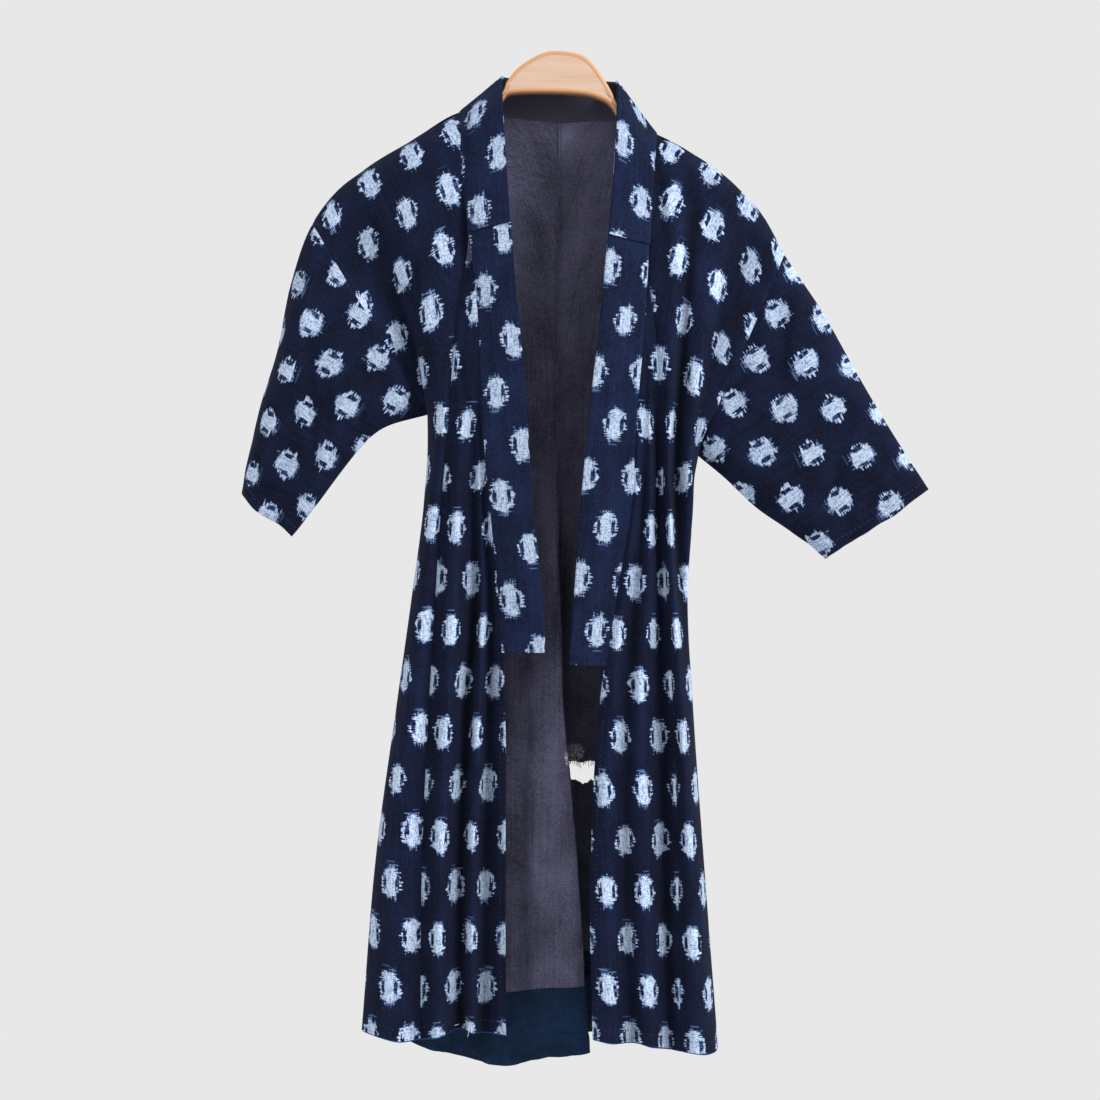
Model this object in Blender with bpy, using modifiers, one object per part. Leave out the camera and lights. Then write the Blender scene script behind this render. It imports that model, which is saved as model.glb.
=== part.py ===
"""An unlined-front cotton kimono, hung open on a wooden hanger.

Sizes in the tables are millimetres. x runs to the viewer's right, y away from the viewer
and measured from the hanger's middle plane, and drop is the distance below the origin,
which is the point on the back of the hanger where a stand holds it. The front faces -y.

Each half of the garment is described by its cross-sections. A table has one row for each
section, from the hem up to the underarm, and one named column for each fold line. The rows
above the underarm are worked out from the underarm section and the shoulder line. A piece
is a stretch of that surface between two seams, given a wall on both sides of it.
"""
import math

import bmesh
import bpy
import numpy as np
from mathutils import Matrix, Vector

MM = 0.001

# Cloth
CLOTH_WALL = 2.0
COLLAR_WALL = 3.0
OVER_COLLAR_WALL = 1.6
LINING_WALL = 1.2
SEAM_GAP = 0.3
UNDERARM_GAP = 2.4
LAYER_GAP = 0.4
NECK_GAP = 1.2
LONGEST_MITRE = 2.5

# Hanger
HANGER_THICK = 17.0
HANGER_EDGE = 3.0

# Rows of every section table, from the hem to the underarm, and the drop of each
ROWS = ("hem", "calf", "knee", "hip", "waist", "underarm")
SIDE_NAMES = ("right", "left")
ROW_DROPS = {
    "right": (1012, 831, 658, 547, 447, 356),
    "left": (1022, 831, 658, 547, 447, 395),
}
BACK_UNDERARM_DROP = 376

# Rows between the underarm (0) and the top of the shoulder (1)
RISE = (0.08, 0.35, 0.58, 0.78, 0.955, 1.0)
SHOULDER_DEPTH = 17.0
SHOULDER_NEAR_TOP = 15.0

# Spacing of the rows along the cloth, hem to shoulder, one value past each end
ROW_KNOTS = (-180, 0, 180, 355, 465, 565, 655, 680, 755, 825, 880, 932, 952, 972)

# Fold lines of a front, from the overlap panel's free edge round to the side seam
FRONT_COLUMNS = ("edge", "valley_2", "ridge_2", "valley_1", "ridge_1", "overlap_seam",
                 "strip", "tuck", "fold", "wrap", "side_seam")
FRONT_X = {
    "right": (
        (-42, -64, -77, -91, -110, -131, -153, -176, -195, -186, -165),
        (-45, -65, -78, -93, -111, -132, -150, -168, -183, -176, -159),
        (-48, -64, -75, -88, -106, -127, -140, -153, -162, -159, -149),
        (-55, -64, -73, -83, -101, -122, -131, -141, -148, -145, -140),
        (-67, -72, -78, -86, -100, -117, -123, -130, -136, -137, -134),
        (-75, -79, -84, -90, -99, -111, -117, -124, -131, -135, -135),
    ),
    "left": (
        (50, 70, 92, 110, 130, 143, 161, 174, 184, 179, 159),
        (45, 63, 82, 102, 122, 136, 149, 159, 166, 161, 143),
        (52, 66, 81, 97, 116, 128, 137, 145, 151, 147, 133),
        (66, 77, 88, 101, 113, 120, 128, 136, 143, 142, 133),
        (81, 88, 95, 102, 109, 115, 122, 130, 145, 147, 140),
        (83, 89, 95, 102, 108, 113, 120, 129, 143, 151, 153),
    ),
}
FRONT_Y = {
    "right": (
        (-34, -20, -36, -22, -44, -30, -38, -30, -6, 18, 30),
        (-34, -20, -36, -22, -44, -30, -38, -30, -6, 18, 28),
        (-36, -22, -36, -22, -44, -30, -38, -30, -8, 12, 22),
        (-38, -26, -34, -24, -44, -32, -38, -32, -12, 6, 16),
        (-42, -34, -36, -30, -44, -34, -38, -33, -18, -2, 8),
        (-44, -40, -40, -38, -44, -38, -38, -33, -20, -8, 0),
    ),
    "left": (
        (-34, -44, -30, -42, -20, -28, -42, -34, -8, 14, 30),
        (-34, -44, -32, -42, -20, -28, -42, -32, -8, 12, 28),
        (-36, -44, -34, -42, -22, -28, -42, -30, -10, 8, 24),
        (-38, -42, -34, -42, -24, -28, -42, -26, -20, -2, 14),
        (-40, -42, -36, -42, -28, -30, -44, -26, -34, -14, 4),
        (-40, -42, -38, -42, -32, -34, -44, -28, -38, -20, 0),
    ),
}
FRONT_HEM_DROP = {
    "right": (1010, 1010, 1008, 1006, 1011, 1016, 1018, 1015, 1013, 1018, 1024),
    "left": (1013, 1015, 1016, 1018, 1024, 1025, 1025, 1026, 1027, 1027, 1027),
}

# Fold lines of a back half, from the centre seam out to the side seam
BACK_COLUMNS = ("centre_seam", "ridge", "neck_side", "flat", "turn", "side_seam")
BACK_X = {
    "right": (
        (44, 0, -43, -90, -131, -165),
        (29, -8, -46, -90, -129, -159),
        (11, -16, -49, -87, -124, -149),
        (4, -21, -51, -87, -119, -140),
        (1, -25, -53, -87, -117, -134),
        (2, -27, -54, -86, -115, -135),
    ),
    "left": (
        (44, 37, 36, 72, 126, 159),
        (29, 23, 25, 64, 115, 143),
        (11, 9, 17, 55, 104, 133),
        (4, 6, 19, 55, 102, 133),
        (1, 10, 29, 60, 107, 140),
        (2, 19, 42, 72, 117, 153),
    ),
}
BACK_Y = {
    "right": (
        (4, 8, 28, 58, 62, 30),
        (6, 10, 30, 55, 58, 28),
        (12, 18, 34, 52, 54, 22),
        (20, 28, 42, 52, 48, 16),
        (38, 44, 50, 52, 42, 8),
        (52, 52, 52, 48, 32, 0),
    ),
    "left": (
        (4, 34, 70, 84, 70, 30),
        (6, 36, 72, 86, 72, 28),
        (12, 38, 68, 80, 68, 24),
        (20, 40, 62, 72, 60, 14),
        (38, 48, 58, 60, 48, 4),
        (52, 54, 54, 52, 36, 0),
    ),
}
BACK_HEM_DROP = {
    "right": (1036, 1042, 1056, 1052, 1046, 1024),
    "left": (1036, 1030, 1029, 1029, 1030, 1027),
}

# Shoulder line from the neck to the top of the armhole: x, drop
SHOULDER = {
    "right": ((-104, 33), (-136, 51), (-167, 71), (-201, 93), (-235, 119), (-262, 156)),
    "left": ((102, 53), (129, 67), (156, 82), (184, 103), (217, 137), (243, 181)),
}

# The collar's seam and the overlap panel's seam above the underarm: collar x, overlap x
FRONT_INNER = {
    "right": ((-76, -110), (-82, -105), (-93, -95), (-100, -100), (-102, -102), (-104, -104)),
    "left": ((84, 112), (90, 106), (94, 96), (97, 97), (100, 100), (102, 102)),
}
OVERLAP_TIP = 2
OVERLAP_TOP_KNOT = 800.0

# Depth of the armhole's edge at each rise, in front of and behind the middle plane
ARMHOLE_DEPTH = (9, 15, 18, 19, 14, 0)

# Back of the neck: ridge and centre seam, x, y, drop
NECK_RIDGE = {"right": (-56, 24, 34), "left": (57, 24, 36)}
NECK_CENTRE = (1, 27, 38)

# Free edge of the collar, from the knee row to the shoulder: x, y, drop
COLLAR_FREE = {
    "right": (
        (-3, -44, 657), (-10, -46, 546), (-22, -50, 447), (-29, -52, 355), (-31, -52, 329),
        (-41, -52, 241), (-49, -47, 160), (-55, -38, 92), (-60, -23, 22), (-61, 0, -3),
    ),
    "left": (
        (17, -44, 657), (23, -46, 546), (29, -50, 446), (33, -50, 394), (35, -50, 368),
        (44, -50, 273), (51, -46, 190), (57, -36, 112), (60, -23, 34), (60, 0, 0),
    ),
}
COLLAR_FIRST_ROW = ROWS.index("knee")
COLLAR_END_KNOT = {"right": 407.0, "left": 395.0}
OVER_COLLAR_END_KNOT = {"right": 828.0, "left": 842.0}
COLLAR_BULGE = 2.5

# Collar behind the neck, shoulder to centre: back column of its seam, free x, y, drop
COLLAR_BACK = {
    "right": ((1.5, -58, 14, -7), (1.0, -46, 23, -8), (0.5, -24, 27, -8)),
    "left": ((1.5, 58, 14, -4), (1.0, 46, 23, -7), (0.5, 24, 27, -8)),
}
COLLAR_BACK_CENTRE = (0.0, 0, 28, -8)

# Sleeves from the armhole to the cuff: upper fold x, y, drop, lower fold x, y, drop,
# then how far the front and the back stand out low down and high up
SLEEVE_COLUMNS = ("top_x", "top_y", "top_drop", "low_x", "low_y", "low_drop",
                  "front_low", "front_high", "back_low", "back_high")
SLEEVES = {
    "right": (
        (-284, 4, 220, -178, -2, 369, 18, 30, 18, 18),
        (-298, 8, 290, -201, -6, 387, 16, 34, 20, 20),
        (-317, 14, 354, -228, -8, 421, 14, 30, 22, 22),
        (-335, 18, 443, -277, -10, 491, 10, 24, 28, 24),
    ),
    "left": (
        (284, 0, 241, 183, 0, 419, 16, 18, 16, 16),
        (323, 0, 308, 217, 0, 450, 15, 17, 14, 16),
        (361, -2, 370, 254, -2, 475, 13, 15, 12, 14),
        (400, -4, 429, 292, -4, 503, 10, 12, 10, 12),
    ),
}

# The back lining ends in a darker band at the hem: the band's top, as a knot
HEM_BAND_KNOT = {"right": 62.0, "left": 80.0}
LINING_TOP_KNOT = 880

# The worn hole through the back: x and drop along its rim, clockwise from the upper left
TEAR_RIM = ((9, 733), (24, 730), (33, 732), (45, 730), (60, 733), (62, 748),
            (54, 754), (46, 751), (38, 757), (30, 752), (22, 750), (12, 745))
TEAR_DEPTH = (52.0, 110.0)

# The hanger seen from the front, x and drop: its right arm, its dome and its left arm
HANGER_TOP = (
    (-188, 103), (-184, 93), (-166, 81.8), (-142, 66.8), (-118, 52.6), (-104, 45.4),
    (-94, 41.6), (-86, 35), (-76, 27), (-66, 18), (-60, 9), (-57, 1), (-43, -16), (-20, -30),
    (-3, -33), (20, -30), (35, -20), (51, 2), (60, 19), (68, 33), (80, 46), (88, 53.4),
    (96, 61.6), (112, 71), (136, 82.8), (152, 92.2), (168, 102.8), (174, 110),
)
HANGER_UNDER = (
    (170, 117), (156, 110), (130, 98), (104, 86), (80, 66), (66, 44), (54, 25), (40, 17),
    (20, 13), (-16, 12), (-52, 14), (-60, 21), (-70, 34), (-90, 54), (-110, 65), (-142, 84),
    (-172, 102), (-184, 108),
)

# Colours (linear), roughness
FINISHES = {
    "indigo_cotton": ((0.012, 0.016, 0.045, 1.0), 0.95),
    "indigo_collar": ((0.014, 0.019, 0.055, 1.0), 0.95),
    "faded_lining": ((0.060, 0.052, 0.070, 1.0), 0.95),
    "teal_hem_lining": ((0.010, 0.030, 0.070, 1.0), 0.95),
    "maple": ((0.640, 0.400, 0.240, 1.0), 0.45),
}

# Points that are sampled between control rows and between control columns
LOWER_STEPS = 2
UPPER_STEPS = (1, 2, 1, 1, 1, 2)
FRONT_CELLS = 10
OVERLAP_CELLS = 10
NECK_CELLS = 4
COLLAR_CELLS = 3
SLEEVE_STEPS = 3


def place(x, y, drop):
    """A table's x, y and drop as a point in metres, with the hanger's back at y = 0."""
    return np.array((x, y - HANGER_THICK / 2, -drop)) * MM


def spline_weights(knots, value):
    """First index and four weights of a smooth curve through the points at the knots."""
    last = len(knots) - 3
    i = 1
    while i < last and value > knots[i + 1]:
        i += 1
    before, span, after = (knots[i + k + 1] - knots[i + k] for k in (-1, 0, 1))
    s = (value - knots[i]) / span
    h00 = 2 * s ** 3 - 3 * s ** 2 + 1
    h10 = s ** 3 - 2 * s ** 2 + s
    h01 = 1 - h00
    h11 = s ** 3 - s ** 2
    start = h10 * span
    end = h11 * span
    w0 = -start * span / (before * (before + span))
    w1 = h00 + start * (span - before) / (before * span) - end * after / (span * (span + after))
    w2 = h01 + start * before / (span * (before + span)) + end * (after - span) / (span * after)
    w3 = end * span / (after * (span + after))
    return i - 1, np.array((w0, w1, w2, w3))


class Surface:
    """A smooth sheet through a grid of points that has one spare row and column all round."""

    def __init__(self, grid, row_knots, column_knots, outward):
        self.grid = np.array(grid)
        self.lower_grid = self.grid
        self.row_knots = row_knots
        self.column_knots = column_knots
        self.outward = outward

    def run_side_straight(self, row):
        """Let the side seam reach this row straight, whatever it does in the rows above."""
        low, mid, high = self.row_knots[row - 1:row + 2]
        self.lower_grid = self.grid.copy()
        side = self.lower_grid[:, -2:]
        side[row + 1] = side[row] + (side[row] - side[row - 1]) * (high - mid) / (mid - low)

    def point(self, row, column):
        r, row_weights = spline_weights(self.row_knots, row)
        c, column_weights = spline_weights(self.column_knots, column)
        is_lower = r + 3 <= len(ROWS) + 1
        grid = self.lower_grid if is_lower else self.grid
        block = grid[r:r + 4, c:c + 4]
        return np.einsum("i,j,ijk->k", row_weights, column_weights, block)

    def sample(self, row, column):
        """The point there and the unit normal that faces out of the garment."""
        step = 0.01
        row_step = step * (self.row_knots[-2] - self.row_knots[1])
        column_step = step * (self.column_knots[-2] - self.column_knots[1])
        up = self.point(row + row_step, column) - self.point(row - row_step, column)
        across = self.point(row, column + column_step) - self.point(row, column - column_step)
        normal = np.cross(up, across) * self.outward
        return self.point(row, column), normal / np.linalg.norm(normal)

    def inset(self, row, column, gap, direction):
        """The column that lies a gap inside the given one, for a seam's clearance."""
        step = 0.05
        stretch = self.point(row, column + step * direction) - self.point(row, column)
        return column + direction * gap * step / np.linalg.norm(stretch)


def uniform_knots(count):
    """Evenly spaced knots for the given number of columns, with one spare at each end."""
    return tuple(range(-1, count + 1))


def spread(first, last, cells):
    """Evenly spaced values from first to last."""
    return [first + (last - first) * k / cells for k in range(cells + 1)]


def row_samples(first=None, last=None):
    """Knot values along the cloth, from hem to shoulder, between two limits."""
    steps = (LOWER_STEPS,) * (len(ROWS) - 1) + UPPER_STEPS
    knots = ROW_KNOTS[1:-1]
    values = [knots[0]]
    for start, end, count in zip(knots, knots[1:], steps):
        values += spread(start, end, count)[1:]
    low = values[0] if first is None else first
    high = values[-1] if last is None else last
    margin = 12.0
    inner = [v for v in values if low + margin < v < high - margin]
    return [low] + inner + [high]


def shoulder_point(side, fraction):
    """The shoulder line's x and drop at a fraction of the way from neck to armhole."""
    points = SHOULDER[side]
    padded = [2 * np.array(points[0]) - points[1]] + list(points)
    padded.append(2 * np.array(points[-1]) - points[-2])
    first, weights = spline_weights(uniform_knots(len(points)), fraction * (len(points) - 1))
    x, drop = weights @ np.array(padded[first:first + 4], dtype=float)
    return float(x), float(drop)


def rise_row(low, top, rise, face, is_side):
    """One point above the underarm: low and top are (x, y, drop), face is -1 in front."""
    x_power = 1.0 if is_side else 1.4
    x = low[0] + (top[0] - low[0]) * rise ** x_power
    drop = low[2] + (top[2] - low[2]) * rise
    if is_side:
        y = face * ARMHOLE_DEPTH[RISE.index(rise)]
    elif rise == 1.0:
        y = top[1]
    elif rise > 0.9:
        y = face * SHOULDER_NEAR_TOP if top[1] == 0 else top[1] + 2.0 * face
    else:
        y = low[1] + (face * SHOULDER_DEPTH + top[1] - low[1]) * rise ** 2
    return x, y, drop


def front_grid(side):
    """Control points of a front: rows from hem to shoulder, columns from edge to side."""
    seam = FRONT_COLUMNS.index("overlap_seam")
    last = len(FRONT_COLUMNS) - 1
    rows = []
    for r, drop in enumerate(ROW_DROPS[side]):
        drops = FRONT_HEM_DROP[side] if r == 0 else (drop,) * (last + 1)
        rows.append([place(x, y, d)
                     for x, y, d in zip(FRONT_X[side][r], FRONT_Y[side][r], drops)])
    low = [(x, y, ROW_DROPS[side][-1]) for x, y in zip(FRONT_X[side][-1], FRONT_Y[side][-1])]
    for k, rise in enumerate(RISE):
        collar_x, overlap_x = FRONT_INNER[side][k]
        row = []
        for c in range(last + 1):
            top_x, top_drop = shoulder_point(side, max(c - seam, 0) / (last - seam))
            x, y, drop = rise_row(low[c], (top_x, 0, top_drop), rise, -1, c == last)
            if c <= seam:
                share = c / seam
                x = collar_x + (overlap_x - collar_x) * share
                edge_y, seam_y = low[0][1], low[seam][1]
                flat_y = rise_row((0, edge_y + (seam_y - edge_y) * share, 0), (0, 0, 0),
                                  rise, -1, False)[1]
                y += (flat_y - y) * min(1.0, rise / RISE[1])
            row.append(place(x, y, drop))
        rows.append(row)
    return rows


def back_grid(side):
    """Control points of a back half: rows from hem to shoulder, columns centre to side."""
    last = len(BACK_COLUMNS) - 1
    neck = BACK_COLUMNS.index("neck_side")
    rows = []
    for r, drop in enumerate(ROW_DROPS[side]):
        row = []
        for c in range(last + 1):
            if r == 0:
                this_drop = BACK_HEM_DROP[side][c]
            elif r == len(ROWS) - 1:
                this_drop = BACK_UNDERARM_DROP + (drop - BACK_UNDERARM_DROP) * c / last
            else:
                this_drop = drop
            row.append((BACK_X[side][r][c], BACK_Y[side][r][c], this_drop))
        rows.append(row)
    low = rows[-1]
    for rise in RISE:
        row = []
        for c in range(last + 1):
            if c == 0:
                top = NECK_CENTRE
            elif c < neck:
                top = NECK_RIDGE[side]
            else:
                top_x, top_drop = shoulder_point(side, (c - neck) / (last - neck))
                top = (top_x, 0, top_drop)
            row.append(rise_row(low[c], top, rise, 1, c == last))
        rows.append(row)
    return [[place(*point) for point in row] for row in rows]


def collar_points(side, front):
    """Seam, middle and free edge of the collar beside one front, knee row to shoulder."""
    seam_column = FRONT_COLUMNS.index("overlap_seam")
    rows = []
    for k, free in enumerate(COLLAR_FREE[side]):
        r = COLLAR_FIRST_ROW + k
        above_tip = r > len(ROWS) - 1 + OVERLAP_TIP + 1
        seam = front[r][seam_column if above_tip else 0]
        free_point = place(*free)
        middle = (seam + free_point) / 2
        middle[1] -= COLLAR_BULGE * MM * (1 if k < len(COLLAR_FREE[side]) - 1 else 0)
        rows.append([seam, middle, free_point])
    return rows


def sleeve_points(side, front, back):
    """Rings of a sleeve, armhole to cuff, from the lower fold up the front and down behind."""
    armhole_rows = range(len(ROWS) - 1, len(ROWS) + len(RISE))
    up = [front[r][-1] for r in armhole_rows]
    down = [back[r][-1] for r in reversed(armhole_rows)]
    rings = [up + down[1:]]
    fractions = (0.0,) + RISE
    for station in SLEEVES[side]:
        values = dict(zip(SLEEVE_COLUMNS, station))
        top = np.array([values["top_" + k] for k in ("x", "y", "drop")], dtype=float)
        low = np.array([values["low_" + k] for k in ("x", "y", "drop")], dtype=float)
        ring = []
        for face, name in ((-1, "front"), (1, "back")):
            bulges = (0, values[name + "_low"] * 0.6, values[name + "_low"],
                      (values[name + "_low"] + values[name + "_high"]) / 2,
                      values[name + "_high"], values[name + "_high"] * 0.55, 0)
            half = []
            for fraction, bulge in zip(fractions, bulges):
                point = low + (top - low) * fraction
                point[1] += face * bulge
                half.append(place(*point))
            ring += half if face < 0 else half[::-1][1:]
        rings.append(ring)
    return rings


def pad_rows(rows, before=None, after=None):
    """Add a spare row at each end, carried straight on where none is given."""
    first = before or [2 * a - b for a, b in zip(rows[0], rows[1])]
    last = after or [2 * a - b for a, b in zip(rows[-1], rows[-2])]
    return [first] + rows + [last]


def pad_columns(rows, before=None, after=None):
    """Add a spare column at each side, carried straight on where none is given."""
    padded = []
    for r, row in enumerate(rows):
        first = before[r] if before is not None else 2 * row[0] - row[1]
        last = after[r] if after is not None else 2 * row[-1] - row[-2]
        padded.append([first] + list(row) + [last])
    return padded


def neighbour(inner, seam, beyond):
    """The point past a seam, brought to the near side's spacing so that both sides agree."""
    reach = np.linalg.norm(beyond - seam)
    return seam + (beyond - seam) * np.linalg.norm(inner - seam) / reach


class Half:
    """One half of the garment: its control points and the surfaces that they carry."""

    def __init__(self, side):
        self.side = side
        self.turn = 1 if side == "right" else -1
        self.front = front_grid(side)
        self.back = back_grid(side)
        self.collar = collar_points(side, self.front)
        self.sleeve = sleeve_points(side, self.front, self.back)

    def beyond_side(self, own, other):
        """Neighbours past the side column: the other panel below, the sleeve above."""
        underarm = len(ROWS) - 1
        ring = self.sleeve[1]
        beyond = []
        for r, row in enumerate(own):
            if r <= underarm + 1:
                past = other[r][-2]
            else:
                step = r - underarm
                past = ring[step] if own is self.front else ring[len(ring) - 1 - step]
            beyond.append(neighbour(row[-2], row[-1], past))
        return beyond

    def overlap_surface(self):
        """The overlap panel, from its free edge to its seam with the front."""
        seam = FRONT_COLUMNS.index("overlap_seam")
        own = []
        before = []
        after = []
        for r, row in enumerate(self.front):
            k = r - COLLAR_FIRST_ROW
            past = self.collar[k][1] if k >= 0 else 2 * row[0] - row[1]
            own.append(row[:seam + 1])
            before.append(neighbour(row[1], row[0], past))
            after.append(neighbour(row[seam - 1], row[seam], row[seam + 1]))
        rows = pad_rows(pad_columns(own, before, after))
        return Surface(rows, ROW_KNOTS, uniform_knots(seam + 1), self.turn)

    def across_shoulder(self, back_row):
        """A row of the back, read at the front's columns, for the fold over the shoulder."""
        neck = BACK_COLUMNS.index("neck_side")
        seam = FRONT_COLUMNS.index("overlap_seam")
        width = len(BACK_COLUMNS) - 1 - neck
        fronts = len(FRONT_COLUMNS) - 1 - seam
        row = []
        for c in range(len(FRONT_COLUMNS)):
            at = neck + width * max(c - seam, 0) / fronts
            low = min(int(at), len(BACK_COLUMNS) - 2)
            row.append(back_row[low] + (back_row[low + 1] - back_row[low]) * (at - low))
        return row

    def body_front_surface(self):
        """The front panel alone, from the overlap seam to the side seam."""
        seam = FRONT_COLUMNS.index("overlap_seam")
        tip_row = len(ROWS) + OVERLAP_TIP
        own = [row[seam:] for row in self.front]
        before = []
        for r, row in enumerate(self.front):
            k = r - COLLAR_FIRST_ROW
            past = row[seam - 1] if r < tip_row else self.collar[k][1]
            before.append(neighbour(row[seam + 1], row[seam], past))
        rows = pad_columns(own, before, self.beyond_side(self.front, self.back))
        over = self.across_shoulder(self.back[-2])[seam:]
        rows = pad_rows(rows, after=[rows[-2][0]] + over + [rows[-2][-1]])
        surface = Surface(rows, ROW_KNOTS, uniform_knots(len(own[0])), self.turn)
        surface.run_side_straight(len(ROWS))
        return surface

    def back_surface(self, other):
        """The back half, from the centre seam to the side seam."""
        before = [neighbour(own[1], own[0], past[1])
                  for own, past in zip(self.back, other.back)]
        rows = pad_columns(self.back, before, self.beyond_side(self.back, self.front))
        rows = pad_rows(rows)
        surface = Surface(rows, ROW_KNOTS, uniform_knots(len(BACK_COLUMNS)), -self.turn)
        surface.run_side_straight(len(ROWS))
        return surface

    def collar_surface(self):
        """The collar beside this front, from below its end to the shoulder."""
        seam = FRONT_COLUMNS.index("overlap_seam")
        before = []
        for k in range(len(self.collar)):
            r = COLLAR_FIRST_ROW + k
            above_tip = r > len(ROWS) - 1 + OVERLAP_TIP + 1
            past = self.front[r][seam + 1 if above_tip else 1]
            before.append(neighbour(self.collar[k][1], self.collar[k][0], past))
        rows = pad_columns(self.collar, before)
        rows = pad_rows(rows)
        knots = ROW_KNOTS[COLLAR_FIRST_ROW:]
        return Surface(rows, knots, uniform_knots(3), -self.turn)

    def sleeve_surface(self):
        """The sleeve as a sheet rolled round from its lower fold, rows from root to cuff."""
        size = len(self.sleeve[0])
        root = self.sleeve[0]
        below = neighbour(root[1], root[0], self.front[len(ROWS) - 2][-1])
        before = [below] + [ring[size - 2] for ring in self.sleeve[1:]]
        after = [below] + [ring[1] for ring in self.sleeve[1:]]
        armhole_rows = range(len(ROWS) - 1, len(ROWS) + len(RISE))
        up = [self.front[r][-2] for r in armhole_rows]
        down = [self.back[r][-2] for r in reversed(armhole_rows)]
        inside = up + down[1:]
        inner = []
        for k, (own, seam) in enumerate(zip(self.sleeve[1], root)):
            at_underarm = k < 2 or k > size - 3
            past = 2 * seam - own if at_underarm else neighbour(own, seam, inside[k])
            inner.append(past)
        inner = [inner[0]] + inner + [inner[-1]]
        rows = pad_rows(pad_columns(self.sleeve, before, after), before=inner)
        ring_knots = list(ROW_KNOTS[len(ROWS):-1])
        top = ring_knots[-1]
        ring_knots += [2 * top - knot for knot in reversed(ring_knots[:-1])]
        spare = ring_knots[1] - ring_knots[0]
        ring_knots = [ring_knots[0] - spare] + ring_knots + [ring_knots[-1] + spare]
        return Surface(rows, uniform_knots(len(self.sleeve)), ring_knots, -self.turn)


def seam_gap(_row):
    """The clearance along an ordinary seam."""
    return SEAM_GAP


def side_gap(row):
    """The clearance along the side seam, wider where the panels turn in at the underarm."""
    underarm = ROW_KNOTS[len(ROWS)]
    reach = ROW_KNOTS[len(ROWS)] - ROW_KNOTS[len(ROWS) - 1]
    share = max(0.0, 1.0 - abs(row - underarm) / reach)
    return SEAM_GAP + (UNDERARM_GAP - SEAM_GAP) * share


def collar_gap(row):
    """The clearance along the collar's seam, wider at its loose end and above the panel's tip."""
    if row < ROW_KNOTS[COLLAR_FIRST_ROW + 2] + 5:
        return 2 * NECK_GAP
    return NECK_GAP if row >= OVERLAP_TOP_KNOT else SEAM_GAP


def sheet_patch(surface, rows, columns, gaps=(None, None)):
    """Points and normals over a block of a surface, drawn in a little at its side seams."""
    points = []
    for row in rows:
        line = []
        for k, column in enumerate(columns):
            if k == 0 and gaps[0]:
                column = surface.inset(row, column, gaps[0](row) / 2 * MM, 1)
            if k == len(columns) - 1 and gaps[1]:
                column = surface.inset(row, column, gaps[1](row) / 2 * MM, -1)
            line.append(surface.sample(row, column))
        points.append(line)
    return points


def weld(patches):
    """Join patches into one sheet: points, averaged normals and triangles."""
    index = {}
    points = []
    normals = []
    faces = []
    for patch in patches:
        numbers = []
        for line in patch:
            row = []
            for point, normal in line:
                key = tuple(np.round(point * 1e6).astype(int))
                if key not in index:
                    index[key] = len(points)
                    points.append(point)
                    normals.append([])
                normals[index[key]].append(normal)
                row.append(index[key])
            numbers.append(row)
        for low, high in zip(numbers, numbers[1:]):
            for k in range(len(low) - 1):
                faces.append((low[k], low[k + 1], high[k + 1]))
                faces.append((low[k], high[k + 1], high[k]))
    return points, [mitre(found) for found in normals], faces


def mitre(normals):
    """The offset direction where faces meet: their mean, longer at a sharp fold."""
    mean = np.sum(normals, axis=0)
    mean /= np.linalg.norm(mean)
    return mean / max(float(mean @ normals[0]), 1 / LONGEST_MITRE)


def border(faces):
    """Edges that belong to one face only, as ordered pairs."""
    seen = {}
    for face in faces:
        for a, b in zip(face, face[1:] + face[:1]):
            seen.setdefault(frozenset((a, b)), []).append((a, b))
    return [pairs[0] for pairs in seen.values() if len(pairs) == 1]


def walled_object(name, patches, wall, lift, collection, finish):
    """A named solid: the sheet moved out along its normals to both faces of the cloth."""
    points, normals, faces = weld(patches)
    outer = [p + n * (lift + wall / 2) * MM for p, n in zip(points, normals)]
    inner = [p + n * (lift - wall / 2) * MM for p, n in zip(points, normals)]
    count = len(points)
    shape = bmesh.new()
    verts = [shape.verts.new(Vector(p)) for p in outer + inner]
    for face in faces:
        shape.faces.new([verts[i] for i in face])
        shape.faces.new([verts[i + count] for i in reversed(face)])
    for a, b in border(faces):
        shape.faces.new([verts[b], verts[a], verts[a + count], verts[b + count]])
    bmesh.ops.recalc_face_normals(shape, faces=shape.faces)
    return finish_object(name, shape, collection, finish)


def finish_object(name, shape, collection, finish):
    """Store a bmesh as a smooth-shaded object with its material."""
    mesh = bpy.data.meshes.new(name)
    shape.to_mesh(mesh)
    shape.free()
    mesh.shade_smooth()
    mesh.set_sharp_from_angle(angle=math.radians(50))
    body = bpy.data.objects.new(name, mesh)
    mesh.materials.append(material(finish))
    collection.objects.link(body)
    return body


def material(name):
    """The Principled material of that name, made on first use."""
    found = bpy.data.materials.get(name)
    if found:
        return found
    colour, roughness = FINISHES[name]
    made = bpy.data.materials.new(name)
    made.use_nodes = True
    shader = made.node_tree.nodes["Principled BSDF"]
    shader.inputs["Base Color"].default_value = colour
    shader.inputs["Roughness"].default_value = roughness
    made.diffuse_color = colour
    return made


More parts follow.
